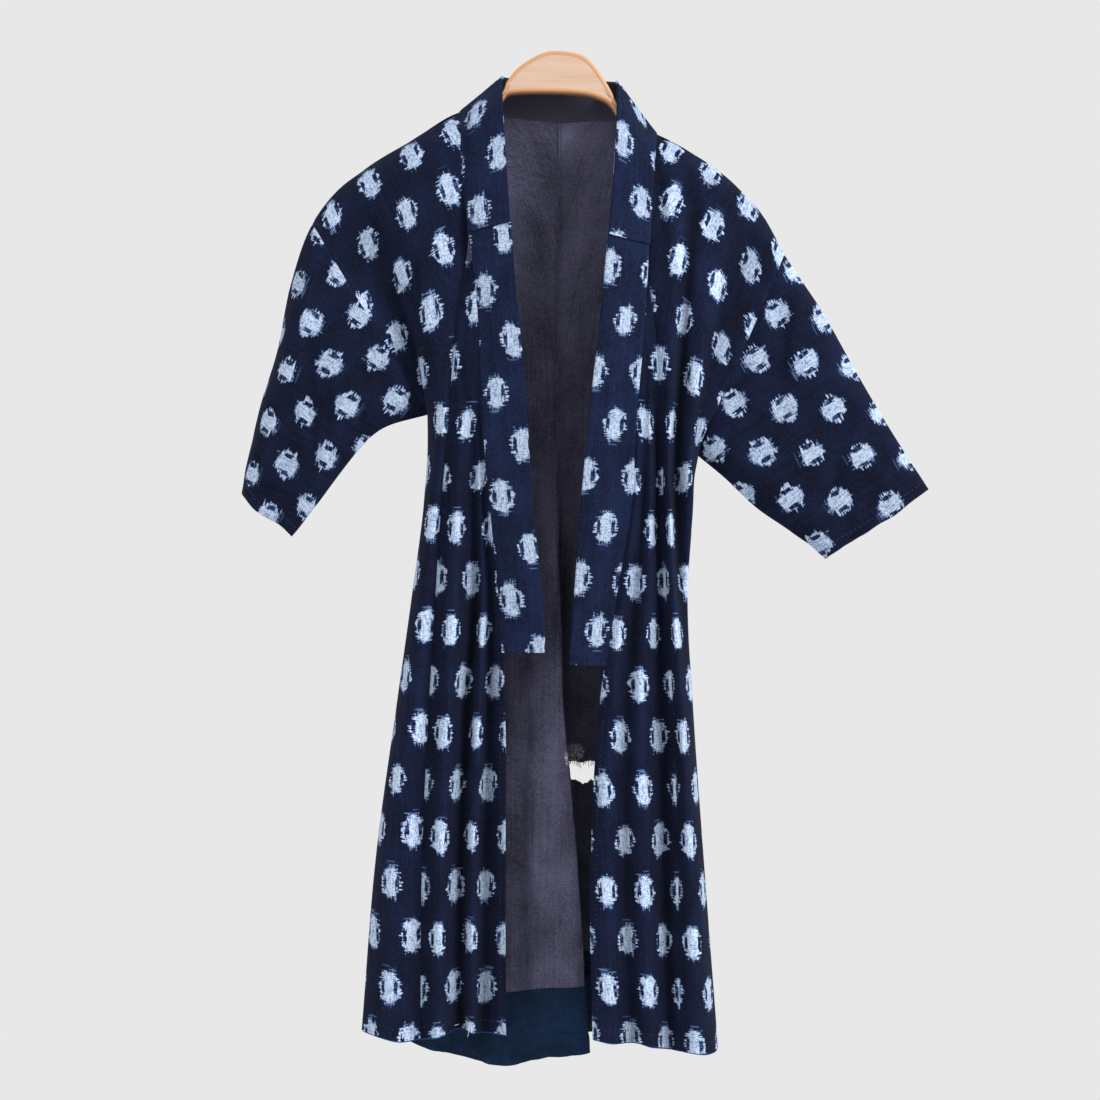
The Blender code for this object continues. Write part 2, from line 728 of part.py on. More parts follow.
def build_body(half, other, collection):
    """Front and back of one half, a single length of cloth over the shoulder."""
    front = half.body_front_surface()
    back = half.back_surface(other)
    rows = row_samples()
    seam = len(FRONT_COLUMNS) - 1 - FRONT_COLUMNS.index("overlap_seam")
    front_patch = sheet_patch(front, rows, spread(0, seam, FRONT_CELLS), (seam_gap, side_gap))
    back_patch = sheet_patch(back, back_rows(half.side), back_columns(), (seam_gap, side_gap))
    for k, (point, normal) in enumerate(front_patch[-1]):
        back_patch[-1][NECK_CELLS + k] = (point, normal)
    walled_object("body_" + half.side, [front_patch, back_patch], CLOTH_WALL, 0.0,
                  collection, "indigo_cotton")


def build_overlap(half, collection):
    """The long overlap panel between the front and the collar."""
    surface = half.overlap_surface()
    seam = FRONT_COLUMNS.index("overlap_seam")
    rows = row_samples(last=OVERLAP_TOP_KNOT)
    patch = sheet_patch(surface, rows, spread(0, seam, OVERLAP_CELLS), (collar_gap, seam_gap))
    walled_object("overlap_" + half.side, [patch], CLOTH_WALL, 0.0, collection,
                  "indigo_cotton")


def build_sleeve(half, collection):
    """One tapered sleeve, open at the armhole and at the cuff."""
    surface = half.sleeve_surface()
    stations = spread(0, len(half.sleeve) - 1, SLEEVE_STEPS * (len(half.sleeve) - 1))
    front = row_samples(first=ROW_KNOTS[len(ROWS)])
    top = ROW_KNOTS[-2]
    around = front + [2 * top - value for value in reversed(front[:-1])]
    patch = sheet_patch(surface, stations[1:], around)
    patch.insert(0, [surface.sample(root_inset(surface, column), column) for column in around])
    walled_object("sleeve_" + half.side, [patch], CLOTH_WALL, 0.0, collection,
                  "indigo_cotton")


def root_inset(surface, column):
    """How far down the sleeve its armhole edge starts, to leave the seam's clearance."""
    top = ROW_KNOTS[-2]
    gap = side_gap(column if column <= top else 2 * top - column)
    step = 0.05
    stretch = surface.point(step, column) - surface.point(0, column)
    return gap * MM * step / np.linalg.norm(stretch)


def back_collar_row(back, column, x, y, drop):
    """Seam, middle and free edge of the collar at one station behind the neck."""
    free = place(x, y, drop)
    seam = back.point(ROW_KNOTS[-2], column)
    seam = seam + (free - seam) / np.linalg.norm(free - seam) * NECK_GAP * MM
    middle = (seam + free) / 2
    middle[1] += COLLAR_BULGE * MM
    return [seam, middle, free]


def shoulder_collar_row(half):
    """The collar's top row, drawn in a little from the shoulder that it stands on."""
    seam, _middle, free = half.collar[-1]
    seam = seam + (free - seam) / np.linalg.norm(free - seam) * NECK_GAP * MM
    return [seam, (seam + free) / 2, free]


def back_collar_surface(halves):
    """The collar behind the neck, from the right shoulder to the left one."""
    right, left = halves
    backs = {"right": right.back_surface(left), "left": left.back_surface(right)}
    rows = [shoulder_collar_row(right)]
    rows += [back_collar_row(backs["right"], *station) for station in COLLAR_BACK["right"]]
    rows.append(back_collar_row(backs["right"], *COLLAR_BACK_CENTRE))
    rows += [back_collar_row(backs["left"], *station)
             for station in reversed(COLLAR_BACK["left"])]
    rows.append(shoulder_collar_row(left))
    rows = pad_rows(rows, before=right.collar[-2], after=left.collar[-2])
    rows = pad_columns(rows)
    return Surface(rows, uniform_knots(len(rows) - 2), uniform_knots(3), -1)


def build_collar(halves, collection):
    """The folded collar band and the second band sewn over its upper part."""
    columns = spread(0, 2, COLLAR_CELLS)
    behind = back_collar_surface(halves)
    stations = len(behind.row_knots) - 3
    middle = sheet_patch(behind, spread(0, stations, 2 * stations), columns)
    collar = [middle]
    over = [middle]
    for half in halves:
        surface = half.collar_surface()
        upper_rows = row_samples(first=OVER_COLLAR_END_KNOT[half.side])
        lower_rows = row_samples(first=COLLAR_END_KNOT[half.side], last=upper_rows[0])
        rows = lower_rows[:-1] + upper_rows
        patch = sheet_patch(surface, rows, columns, (collar_gap, None))
        upper = patch[len(lower_rows) - 1:]
        end = 0 if half.side == "right" else -1
        patch[-1] = middle[end]
        upper[-1] = middle[end]
        collar.append(patch)
        over.append(upper)
    walled_object("collar", collar, COLLAR_WALL, 0.0, collection, "indigo_collar")
    lift = COLLAR_WALL / 2 + SEAM_GAP + OVER_COLLAR_WALL / 2
    walled_object("over_collar", over, OVER_COLLAR_WALL, lift, collection, "indigo_collar")


def back_rows(side):
    """Rows of a back, with one more where its lining meets the hem band."""
    return sorted(row_samples() + [HEM_BAND_KNOT[side]])


def back_columns():
    """Columns of a back, from the centre seam past the neck to the side seam."""
    neck = BACK_COLUMNS.index("neck_side")
    last = len(BACK_COLUMNS) - 1
    return spread(0, neck, NECK_CELLS) + spread(neck, last, FRONT_CELLS)[1:]


def build_lining(half, other, collection):
    """The back lining and its hem band, laid inside the back half."""
    back = half.back_surface(other)
    lift = -(CLOTH_WALL / 2 + LAYER_GAP + LINING_WALL / 2)
    band = HEM_BAND_KNOT[half.side]
    rows = back_rows(half.side)
    columns = back_columns()[:-1]
    gaps = (seam_gap, None)
    main_rows = [band + SEAM_GAP] + [r for r in rows if band < r <= LINING_TOP_KNOT]
    main = sheet_patch(back, main_rows, columns, gaps)
    neck_rows = [r for r in rows if r >= LINING_TOP_KNOT]
    top = sheet_patch(back, neck_rows, columns[:NECK_CELLS], gaps)
    walled_object("lining_" + half.side, [main, top], LINING_WALL, lift, collection,
                  "faded_lining")
    hem = sheet_patch(back, [r for r in rows if r <= band], columns, gaps)
    walled_object("hem_band_" + half.side, [hem], LINING_WALL, lift, collection,
                  "teal_hem_lining")


def flat_outline(name, outline, half_thick):
    """A closed flat curve in the XZ plane, thickened evenly about y = 0, as a mesh."""
    curve = bpy.data.curves.new(name, "CURVE")
    curve.dimensions = "2D"
    curve.fill_mode = "BOTH"
    curve.extrude = half_thick * MM
    curve.resolution_u = 1
    spline = curve.splines.new("POLY")
    spline.points.add(len(outline) - 1)
    for point, (x, drop) in zip(spline.points, outline):
        point.co = (x * MM, -drop * MM, 0.0, 1.0)
    spline.use_cyclic_u = True
    guide = bpy.data.objects.new(name + "_curve", curve)
    bpy.context.scene.collection.objects.link(guide)
    bpy.context.view_layer.update()
    shape = bmesh.new()
    graph = bpy.context.evaluated_depsgraph_get()
    mesh = bpy.data.meshes.new_from_object(guide.evaluated_get(graph))
    shape.from_mesh(mesh)
    bpy.data.objects.remove(guide)
    bpy.data.meshes.remove(mesh)
    bmesh.ops.remove_doubles(shape, verts=shape.verts, dist=0.00001)
    bmesh.ops.rotate(shape, verts=shape.verts, matrix=Matrix.Rotation(math.pi / 2, 3, "X"))
    bmesh.ops.recalc_face_normals(shape, faces=shape.faces)
    return shape


def build_hanger(collection):
    """The plain wooden hanger: a low dome with two arms inside the shoulders."""
    outline = HANGER_TOP + HANGER_UNDER
    shape = flat_outline("hanger", outline, HANGER_THICK / 2)
    bmesh.ops.translate(shape, verts=shape.verts, vec=(0, -HANGER_THICK / 2 * MM, 0))
    hanger = finish_object("hanger", shape, collection, "maple")
    rounded = hanger.modifiers.new("rounded_edges", "BEVEL")
    rounded.width = HANGER_EDGE * MM
    rounded.segments = 2
    rounded.limit_method = "ANGLE"
    rounded.angle_limit = math.radians(60)


def cut_tear(parts, cutters):
    """A worn hole through the left back and its lining."""
    near, far = (depth - HANGER_THICK / 2 for depth in TEAR_DEPTH)
    shape = bmesh.new()
    rings = []
    for y in (near, far):
        rings.append([shape.verts.new((x * MM, y * MM, -drop * MM)) for x, drop in TEAR_RIM])
    count = len(TEAR_RIM)
    shape.faces.new(rings[0])
    shape.faces.new(list(reversed(rings[1])))
    for k in range(count):
        n = (k + 1) % count
        shape.faces.new((rings[0][n], rings[0][k], rings[1][k], rings[1][n]))
    bmesh.ops.recalc_face_normals(shape, faces=shape.faces)
    cutter = finish_object("tear_cutter", shape, cutters, "faded_lining")
    cutter.hide_render = True
    cutter.display_type = "WIRE"
    for name in ("body_left", "lining_left"):
        cut = parts.objects[name].modifiers.new("tear", "BOOLEAN")
        cut.object = cutter
        cut.operation = "DIFFERENCE"
        cut.solver = "EXACT"


def new_collection(name):
    """A collection of that name in the scene."""
    made = bpy.data.collections.new(name)
    bpy.context.scene.collection.children.link(made)
    return made


def main():
    """Clear the scene and build every piece."""
    for old in list(bpy.data.objects):
        bpy.data.objects.remove(old)
    parts = new_collection("kimono")
    cutters = new_collection("cutters")
    halves = [Half(side) for side in SIDE_NAMES]
    for half, other in (halves, halves[::-1]):
        build_body(half, other, parts)
        build_overlap(half, parts)
        build_sleeve(half, parts)
        build_lining(half, other, parts)
    build_collar(halves, parts)
    build_hanger(parts)
    cut_tear(parts, cutters)


main()
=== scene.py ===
"""Looks of a short cotton kimono that hangs open on a wooden hanger.

The cloth pieces repeat the part's own section tables, so each thin shell lies in its solid,
and they add the soft creases, the splashed spots, the weave and the sewing. Tables give x
to the viewer's right, y away from the viewer, measured from the hanger's middle plane, and
the drop below the origin. Where nothing else is said, they are in millimetres.
"""
import logging
import math
from collections import defaultdict
from dataclasses import dataclass, field
from enum import Enum
from typing import Any, Callable, ClassVar, Sequence

import bmesh
import bpy
import numpy as np
from bmesh.types import BMesh, BMVert
from bpy.types import ID, Material, Mesh, Node, NodeSocket, NodeTree, Object
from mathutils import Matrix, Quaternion, Vector


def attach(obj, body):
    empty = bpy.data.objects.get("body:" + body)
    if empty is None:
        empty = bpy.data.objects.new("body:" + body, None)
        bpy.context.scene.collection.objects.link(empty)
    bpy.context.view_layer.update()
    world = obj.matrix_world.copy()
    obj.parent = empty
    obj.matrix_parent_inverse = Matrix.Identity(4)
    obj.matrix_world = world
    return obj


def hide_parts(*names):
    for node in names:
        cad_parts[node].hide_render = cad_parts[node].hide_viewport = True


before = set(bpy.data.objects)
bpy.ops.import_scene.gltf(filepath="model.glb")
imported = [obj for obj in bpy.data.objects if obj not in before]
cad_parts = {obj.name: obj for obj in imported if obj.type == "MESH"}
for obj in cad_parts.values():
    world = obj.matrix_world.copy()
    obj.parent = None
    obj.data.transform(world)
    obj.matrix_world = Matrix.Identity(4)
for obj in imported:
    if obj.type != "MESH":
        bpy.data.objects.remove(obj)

logging.basicConfig(level=logging.INFO, format="%(message)s")
log = logging.getLogger("kimono")

MM = 0.001
HANGER_THICK = 17.0
NECK_GAP = 1.2

# Rows of every section table, from the hem to the underarm, and the drop of each
ROWS = ("hem", "calf", "knee", "hip", "waist", "underarm")
ROW_DROPS = {
    "right": (1012, 831, 658, 547, 447, 356),
    "left": (1022, 831, 658, 547, 447, 395),
}
BACK_UNDERARM_DROP = 376
UNDERARM = ROWS.index("underarm")

# Rows between the underarm (0) and the top of the shoulder (1)
RISE = (0.08, 0.35, 0.58, 0.78, 0.955, 1.0)
ARMHOLE_ROWS = range(UNDERARM, len(ROWS) + len(RISE))
SHOULDER_DEPTH = 17.0
SHOULDER_NEAR_TOP = 15.0

# Spacing of the rows along the cloth, hem to shoulder, one value past each end
ROW_KNOTS = (-180, 0, 180, 355, 465, 565, 655, 680, 755, 825, 880, 932, 952, 972)
UNDERARM_KNOT = ROW_KNOTS[UNDERARM + 1]
SHOULDER_KNOT = ROW_KNOTS[-2]

# Fold lines of a front, from the overlap panel's free edge round to the side seam
FRONT_COLUMNS = ("edge", "valley_2", "ridge_2", "valley_1", "ridge_1", "overlap_seam",
                 "strip", "tuck", "fold", "wrap", "side_seam")
SEAM = FRONT_COLUMNS.index("overlap_seam")
FRONT_LAST = len(FRONT_COLUMNS) - 1
FRONT_X = {
    "right": (
        (-42, -64, -77, -91, -110, -131, -153, -176, -195, -186, -165),
        (-45, -65, -78, -93, -111, -132, -150, -168, -183, -176, -159),
        (-48, -64, -75, -88, -106, -127, -140, -153, -162, -159, -149),
        (-55, -64, -73, -83, -101, -122, -131, -141, -148, -145, -140),
        (-67, -72, -78, -86, -100, -117, -123, -130, -136, -137, -134),
        (-75, -79, -84, -90, -99, -111, -117, -124, -131, -135, -135),
    ),
    "left": (
        (50, 70, 92, 110, 130, 143, 161, 174, 184, 179, 159),
        (45, 63, 82, 102, 122, 136, 149, 159, 166, 161, 143),
        (52, 66, 81, 97, 116, 128, 137, 145, 151, 147, 133),
        (66, 77, 88, 101, 113, 120, 128, 136, 143, 142, 133),
        (81, 88, 95, 102, 109, 115, 122, 130, 145, 147, 140),
        (83, 89, 95, 102, 108, 113, 120, 129, 143, 151, 153),
    ),
}
FRONT_Y = {
    "right": (
        (-34, -20, -36, -22, -44, -30, -38, -30, -6, 18, 30),
        (-34, -20, -36, -22, -44, -30, -38, -30, -6, 18, 28),
        (-36, -22, -36, -22, -44, -30, -38, -30, -8, 12, 22),
        (-38, -26, -34, -24, -44, -32, -38, -32, -12, 6, 16),
        (-42, -34, -36, -30, -44, -34, -38, -33, -18, -2, 8),
        (-44, -40, -40, -38, -44, -38, -38, -33, -20, -8, 0),
    ),
    "left": (
        (-34, -44, -30, -42, -20, -28, -42, -34, -8, 14, 30),
        (-34, -44, -32, -42, -20, -28, -42, -32, -8, 12, 28),
        (-36, -44, -34, -42, -22, -28, -42, -30, -10, 8, 24),
        (-38, -42, -34, -42, -24, -28, -42, -26, -20, -2, 14),
        (-40, -42, -36, -42, -28, -30, -44, -26, -34, -14, 4),
        (-40, -42, -38, -42, -32, -34, -44, -28, -38, -20, 0),
    ),
}
FRONT_HEM_DROP = {
    "right": (1010, 1010, 1008, 1006, 1011, 1016, 1018, 1015, 1013, 1018, 1024),
    "left": (1013, 1015, 1016, 1018, 1024, 1025, 1025, 1026, 1027, 1027, 1027),
}

# Fold lines of a back half, from the centre seam out to the side seam
BACK_COLUMNS = ("centre_seam", "ridge", "neck_side", "flat", "turn", "side_seam")
NECK = BACK_COLUMNS.index("neck_side")
BACK_LAST = len(BACK_COLUMNS) - 1
BACK_X = {
    "right": (
        (44, 0, -43, -90, -131, -165),
        (29, -8, -46, -90, -129, -159),
        (11, -16, -49, -87, -124, -149),
        (4, -21, -51, -87, -119, -140),
        (1, -25, -53, -87, -117, -134),
        (2, -27, -54, -86, -115, -135),
    ),
    "left": (
        (44, 37, 36, 72, 126, 159),
        (29, 23, 25, 64, 115, 143),
        (11, 9, 17, 55, 104, 133),
        (4, 6, 19, 55, 102, 133),
        (1, 10, 29, 60, 107, 140),
        (2, 19, 42, 72, 117, 153),
    ),
}
BACK_Y = {
    "right": (
        (4, 8, 28, 58, 62, 30),
        (6, 10, 30, 55, 58, 28),
        (12, 18, 34, 52, 54, 22),
        (20, 28, 42, 52, 48, 16),
        (38, 44, 50, 52, 42, 8),
        (52, 52, 52, 48, 32, 0),
    ),
    "left": (
        (4, 34, 70, 84, 70, 30),
        (6, 36, 72, 86, 72, 28),
        (12, 38, 68, 80, 68, 24),
        (20, 40, 62, 72, 60, 14),
        (38, 48, 58, 60, 48, 4),
        (52, 54, 54, 52, 36, 0),
    ),
}
BACK_HEM_DROP = {
    "right": (1036, 1042, 1056, 1052, 1046, 1024),
    "left": (1036, 1030, 1029, 1029, 1030, 1027),
}

# Shoulder line from the neck to the top of the armhole: x, drop
SHOULDER = {
    "right": ((-104, 33), (-136, 51), (-167, 71), (-201, 93), (-235, 119), (-262, 156)),
    "left": ((102, 53), (129, 67), (156, 82), (184, 103), (217, 137), (243, 181)),
}

# The collar's seam and the overlap panel's seam above the underarm: collar x, overlap x
FRONT_INNER = {
    "right": ((-76, -110), (-82, -105), (-93, -95), (-100, -100), (-102, -102), (-104, -104)),
    "left": ((84, 112), (90, 106), (94, 96), (97, 97), (100, 100), (102, 102)),
}
OVERLAP_TIP = 2
OVERLAP_TOP_KNOT = 800.0

# Depth of the armhole's edge at each rise, in front of and behind the middle plane
ARMHOLE_DEPTH = (9, 15, 18, 19, 14, 0)

# Back of the neck: ridge and centre seam, x, y, drop
NECK_RIDGE = {"right": (-56, 24, 34), "left": (57, 24, 36)}
NECK_CENTRE = (1, 27, 38)

# Free edge of the collar, from the knee row to the shoulder: x, y, drop
COLLAR_FREE = {
    "right": (
        (-3, -44, 657), (-10, -46, 546), (-22, -50, 447), (-29, -52, 355), (-31, -52, 329),
        (-41, -52, 241), (-49, -47, 160), (-55, -38, 92), (-60, -23, 22), (-61, 0, -3),
    ),
    "left": (
        (17, -44, 657), (23, -46, 546), (29, -50, 446), (33, -50, 394), (35, -50, 368),
        (44, -50, 273), (51, -46, 190), (57, -36, 112), (60, -23, 34), (60, 0, 0),
    ),
}
COLLAR_FIRST_ROW = ROWS.index("knee")
COLLAR_END_KNOT = {"right": 407.0, "left": 395.0}
OVER_COLLAR_END_KNOT = {"right": 828.0, "left": 842.0}
COLLAR_BULGE = 2.5

# Collar behind the neck, shoulder to centre: back column of its seam, free x, y, drop
COLLAR_BACK = {
    "right": ((1.5, -58, 14, -7), (1.0, -46, 23, -8), (0.5, -24, 27, -8)),
    "left": ((1.5, 58, 14, -4), (1.0, 46, 23, -7), (0.5, 24, 27, -8)),
}
COLLAR_BACK_CENTRE = (0.0, 0, 28, -8)

# Sleeves from the armhole to the cuff: upper fold x, y, drop, lower fold x, y, drop,
# then how far the front and the back stand out low down and high up
SLEEVES = {
    "right": (
        (-284, 4, 220, -178, -2, 369, 18, 30, 18, 18),
        (-298, 8, 290, -201, -6, 387, 16, 34, 20, 20),
        (-317, 14, 354, -228, -8, 421, 14, 30, 22, 22),
        (-335, 18, 443, -277, -10, 491, 10, 24, 28, 24),
    ),
    "left": (
        (284, 0, 241, 183, 0, 419, 16, 18, 16, 16),
        (323, 0, 308, 217, 0, 450, 15, 17, 14, 16),
        (361, -2, 370, 254, -2, 475, 13, 15, 12, 14),
        (400, -4, 429, 292, -4, 503, 10, 12, 10, 12),
    ),
}

# The back lining ends in a darker band at the hem: the band's top, as a knot, and how
# far in from the back's middle surface the lining lies
HEM_BAND_KNOT = {"right": 62.0, "left": 80.0}
LINING_TOP_KNOT = 880
LINING_WALL = 0.6
LINING_LIFT = -1.7

# The worn hole through the back: x and drop along its rim, clockwise from the upper left
TEAR_RIM = ((9, 733), (24, 730), (33, 732), (45, 730), (60, 733), (62, 748),
            (54, 754), (46, 751), (38, 757), (30, 752), (22, 750), (12, 745))
TEAR_DEPTH = (52.0, 110.0)

# Around it the mesh is finer: spacing, knots along the cloth and columns of the back
RIP_CELL = 1.3
RIP_ROWS = (244.0, 294.0)
RIP_COLUMNS = (1.3, 3.25)

# Drop of the collar's lower ends
COLLAR_END_DROP = {"right": 606.0, "left": 622.0}

# Columns in the middle of a front and of a back, where lengths up the cloth are measured
FRONT_MIDDLE = 2.5
BACK_MIDDLE = 3.5

# Where the woven pattern starts on each piece: weft, warp
PHASES = {
    "body_right": (39.0, 1.0), "body_left": (6.0, 47.0),
    "overlap_right": (2.0, 60.0), "overlap_left": (3.0, 48.0),
    "sleeve_right": (49.0, 78.0), "sleeve_left": (7.0, 48.0),
    "collar_right": (17.0, 16.0), "collar_left": (47.0, 61.0),
    "over_collar_right": (42.0, 44.0), "over_collar_left": (16.0, 24.0),
}

# Reach of the thinning towards a raw edge, and a band's edge wall and reach
EDGE_RADIUS = 1.2
BAND_EDGE = (0.35, 2.4)

# Depth over which the front's unevenness fades out towards the middle plane
FACING_REACH = 12.0

# Change of the painted shade and light for each millimetre of a fold's height, and reach of a
# seam's painted shade
FOLD_SHADE = 0.13
SEAM_SHADE = 3.5

# Points closer than this, in metres, are one
WELD = 2e-6

# Angle in degrees above which an edge of the cloth stays sharp
CLOTH_SHARP = 65
THREAD_SIDES = 6

# The hanger seen from the front, x and drop: its right arm, its dome and its left arm
HANGER_TOP = (
    (-188, 103), (-184, 93), (-166, 81.8), (-142, 66.8), (-118, 52.6), (-104, 45.4),
    (-94, 41.6), (-86, 35), (-76, 27), (-66, 18), (-60, 9), (-57, 1), (-43, -16), (-20, -30),
    (-3, -33), (20, -30), (35, -20), (51, 2), (60, 19), (68, 33), (80, 46), (88, 53.4),
    (96, 61.6), (112, 71), (136, 82.8), (152, 92.2), (168, 102.8), (174, 110),
)
HANGER_UNDER = (
    (170, 117), (156, 110), (130, 98), (104, 86), (80, 66), (66, 44), (54, 25), (40, 17),
    (20, 13), (-16, 12), (-52, 14), (-60, 21), (-70, 34), (-90, 54), (-110, 65), (-142, 84),
    (-172, 102), (-184, 108),
)

Point = np.ndarray
Rows = list[list[Point]]


class Side(Enum):
    """The wearer's right and left; the right hangs at negative x."""

    RIGHT = "right"
    LEFT = "left"

    @property
    def sign(self) -> int:
        """-1 on the wearer's right, 1 on the left."""
        return -1 if self is Side.RIGHT else 1

    @property
    def other(self) -> "Side":
        """The opposite side."""
        return Side.LEFT if self is Side.RIGHT else Side.RIGHT


class Crease(Enum):
    """The section of a soft crease in cloth."""

    TROUGH = "trough"
    RIDGE = "ridge"
    STEP = "step"


def place(x: float, y: float, drop: float) -> Point:
    """A table's x, y and drop as a point in metres, with the hanger's back at y = 0."""
    return np.array((x, y - HANGER_THICK / 2, -drop)) * MM


def unit(vectors: Point) -> Point:
    """The same directions with length 1."""
    return vectors / np.maximum(np.linalg.norm(vectors, axis=-1, keepdims=True), 1e-12)


# The surfaces that the cloth lies on


def spline_weights(knots: Sequence[float], value: float) -> tuple[int, Point]:
    """Find the weights of a smooth curve through the points at the knots.

    Args:
        knots: Spacing of the points, with one spare at each end.
        value: Where to read the curve.

    Returns:
        The first point's index and the weights of four points.
    """
    last = len(knots) - 3
    i = 1
    while i < last and value > knots[i + 1]:
        i += 1
    before, span, after = (knots[i + k + 1] - knots[i + k] for k in (-1, 0, 1))
    s = (value - knots[i]) / span
    h00 = 2 * s ** 3 - 3 * s ** 2 + 1
    h01 = 1 - h00
    start = (s ** 3 - 2 * s ** 2 + s) * span
    end = (s ** 3 - s ** 2) * span
    w0 = -start * span / (before * (before + span))
    w1 = h00 + start * (span - before) / (before * span) - end * after / (span * (span + after))
    w2 = h01 + start * before / (span * (before + span)) + end * (after - span) / (span * after)
    w3 = end * span / (after * (span + after))
    return i - 1, np.array((w0, w1, w2, w3))


def weight_table(knots: Sequence[float], values: Sequence[float]) -> Point:
    """Weights of every point for each value, one row a value."""
    table = np.zeros((len(values), len(knots)))
    for line, value in zip(table, values):
        first, weights = spline_weights(knots, value)
        line[first:first + 4] = weights
    return table


@dataclass
class Surface:
    """A smooth sheet through a grid of points with one spare row and column all round.

    Attributes:
        grid: Control points.
        row_knots: Spacing of the rows.
        column_knots: Spacing of the columns.
        outward: Sign that turns its normals out of the garment.
        side_runs_straight: Whether the side seam reaches the underarm straight.
    """

    grid: Point
    row_knots: Sequence[float]
    column_knots: Sequence[float]
    outward: int
    side_runs_straight: bool = False

    def points(self, rows: Sequence[float], columns: Sequence[float]) -> Point:
        """Read the surface.

        Args:
            rows: Places along the cloth, in the rows' knots.
            columns: Places across it, in the columns' knots.

        Returns:
            The points, rows by columns by 3.
        """
        grid = np.array(self.grid)
        across = weight_table(self.column_knots, columns)
        along = weight_table(self.row_knots, rows)
        found = np.einsum("ri,ijk,cj->rck", along, grid, across)
        if self.side_runs_straight:
            row = len(ROWS)
            low, mid, high = self.row_knots[row - 1:row + 2]
            side = grid[:, -2:]
            side[row + 1] = side[row] + (side[row] - side[row - 1]) * (high - mid) / (mid - low)
            is_low = np.array(rows) <= mid
            found[is_low] = np.einsum("ri,ijk,cj->rck", along, grid, across)[is_low]
        return found


def uniform_knots(count: int) -> tuple[int, ...]:
    """Evenly spaced knots for the given number of columns, with one spare at each end."""
    return tuple(range(-1, count + 1))


def spread(first: float, last: float, cells: int) -> list[float]:
    """Evenly spaced values from first to last."""
    return list(np.linspace(first, last, cells + 1))


def shoulder_point(side: Side, fraction: float) -> tuple[float, float]:
    """The shoulder line's x and drop at a fraction of the way from neck to armhole."""
    points = SHOULDER[side.value]
    padded = [2 * np.array(points[0]) - points[1]] + list(points)
    padded.append(2 * np.array(points[-1]) - points[-2])
    first, weights = spline_weights(uniform_knots(len(points)), fraction * (len(points) - 1))
    x, drop = weights @ np.array(padded[first:first + 4], dtype=float)
    return float(x), float(drop)


def rise_row(low: Sequence[float], top: Sequence[float], rise: float, face: int,
             is_side: bool) -> tuple[float, float, float]:
    """Find one control point above the underarm.

    Args:
        low: x, y and drop at the underarm.
        top: The same at the shoulder.
        rise: How far up the row is, from 0 to 1.
        face: -1 on the front, 1 on the back.
        is_side: Whether the point is on the armhole's edge.

    Returns:
        Its x, y and drop.
    """
    x = low[0] + (top[0] - low[0]) * rise ** (1.0 if is_side else 1.4)
    drop = low[2] + (top[2] - low[2]) * rise
    if is_side:
        y = face * ARMHOLE_DEPTH[RISE.index(rise)]
    elif rise == 1.0:
        y = top[1]
    elif rise > 0.9:
        y = face * SHOULDER_NEAR_TOP if top[1] == 0 else top[1] + 2.0 * face
    else:
        y = low[1] + (face * SHOULDER_DEPTH + top[1] - low[1]) * rise ** 2
    return x, y, drop


def front_grid(side: Side) -> Rows:
    """Control points of a front: rows from hem to shoulder, columns from edge to side."""
    name = side.value
    rows = []
    for r, drop in enumerate(ROW_DROPS[name]):
        drops = FRONT_HEM_DROP[name] if r == 0 else (drop,) * len(FRONT_COLUMNS)
        rows.append([place(*at) for at in zip(FRONT_X[name][r], FRONT_Y[name][r], drops)])
    low = [(x, y, ROW_DROPS[name][-1]) for x, y in zip(FRONT_X[name][-1], FRONT_Y[name][-1])]
    for (collar_x, overlap_x), rise in zip(FRONT_INNER[name], RISE):
        row = []
        for c in range(len(FRONT_COLUMNS)):
            top_x, top_drop = shoulder_point(side, max(c - SEAM, 0) / (FRONT_LAST - SEAM))
            x, y, drop = rise_row(low[c], (top_x, 0, top_drop), rise, -1, c == FRONT_LAST)
            if c <= SEAM:
                share = c / SEAM
                x = collar_x + (overlap_x - collar_x) * share
                edge_y, seam_y = low[0][1], low[SEAM][1]
                flat_y = rise_row((0, edge_y + (seam_y - edge_y) * share, 0), (0, 0, 0),
                                  rise, -1, False)[1]
                y += (flat_y - y) * min(1.0, rise / RISE[1])
            row.append(place(x, y, drop))
        rows.append(row)
    return rows


def back_grid(side: Side) -> Rows:
    """Control points of a back half: rows from hem to shoulder, columns centre to side."""
    name = side.value
    rows = []
    for r, drop in enumerate(ROW_DROPS[name]):
        drops = [drop] * len(BACK_COLUMNS)
        if r == 0:
            drops = BACK_HEM_DROP[name]
        elif r == UNDERARM:
            drops = [BACK_UNDERARM_DROP + (drop - BACK_UNDERARM_DROP) * c / BACK_LAST
                     for c in range(len(BACK_COLUMNS))]
        rows.append(list(zip(BACK_X[name][r], BACK_Y[name][r], drops)))
    tops = [NECK_CENTRE, NECK_RIDGE[name]]
    for c in range(BACK_LAST - NECK + 1):
        x, drop = shoulder_point(side, c / (BACK_LAST - NECK))
        tops.append((x, 0, drop))
    low = rows[-1]
    rows += [[rise_row(low[c], top, rise, 1, c == BACK_LAST) for c, top in enumerate(tops)]
             for rise in RISE]
    return [[place(*point) for point in row] for row in rows]


def is_above_tip(row: int) -> bool:
    """Whether a row of the front lies above the overlap panel's tip."""
    return row > UNDERARM + OVERLAP_TIP + 1


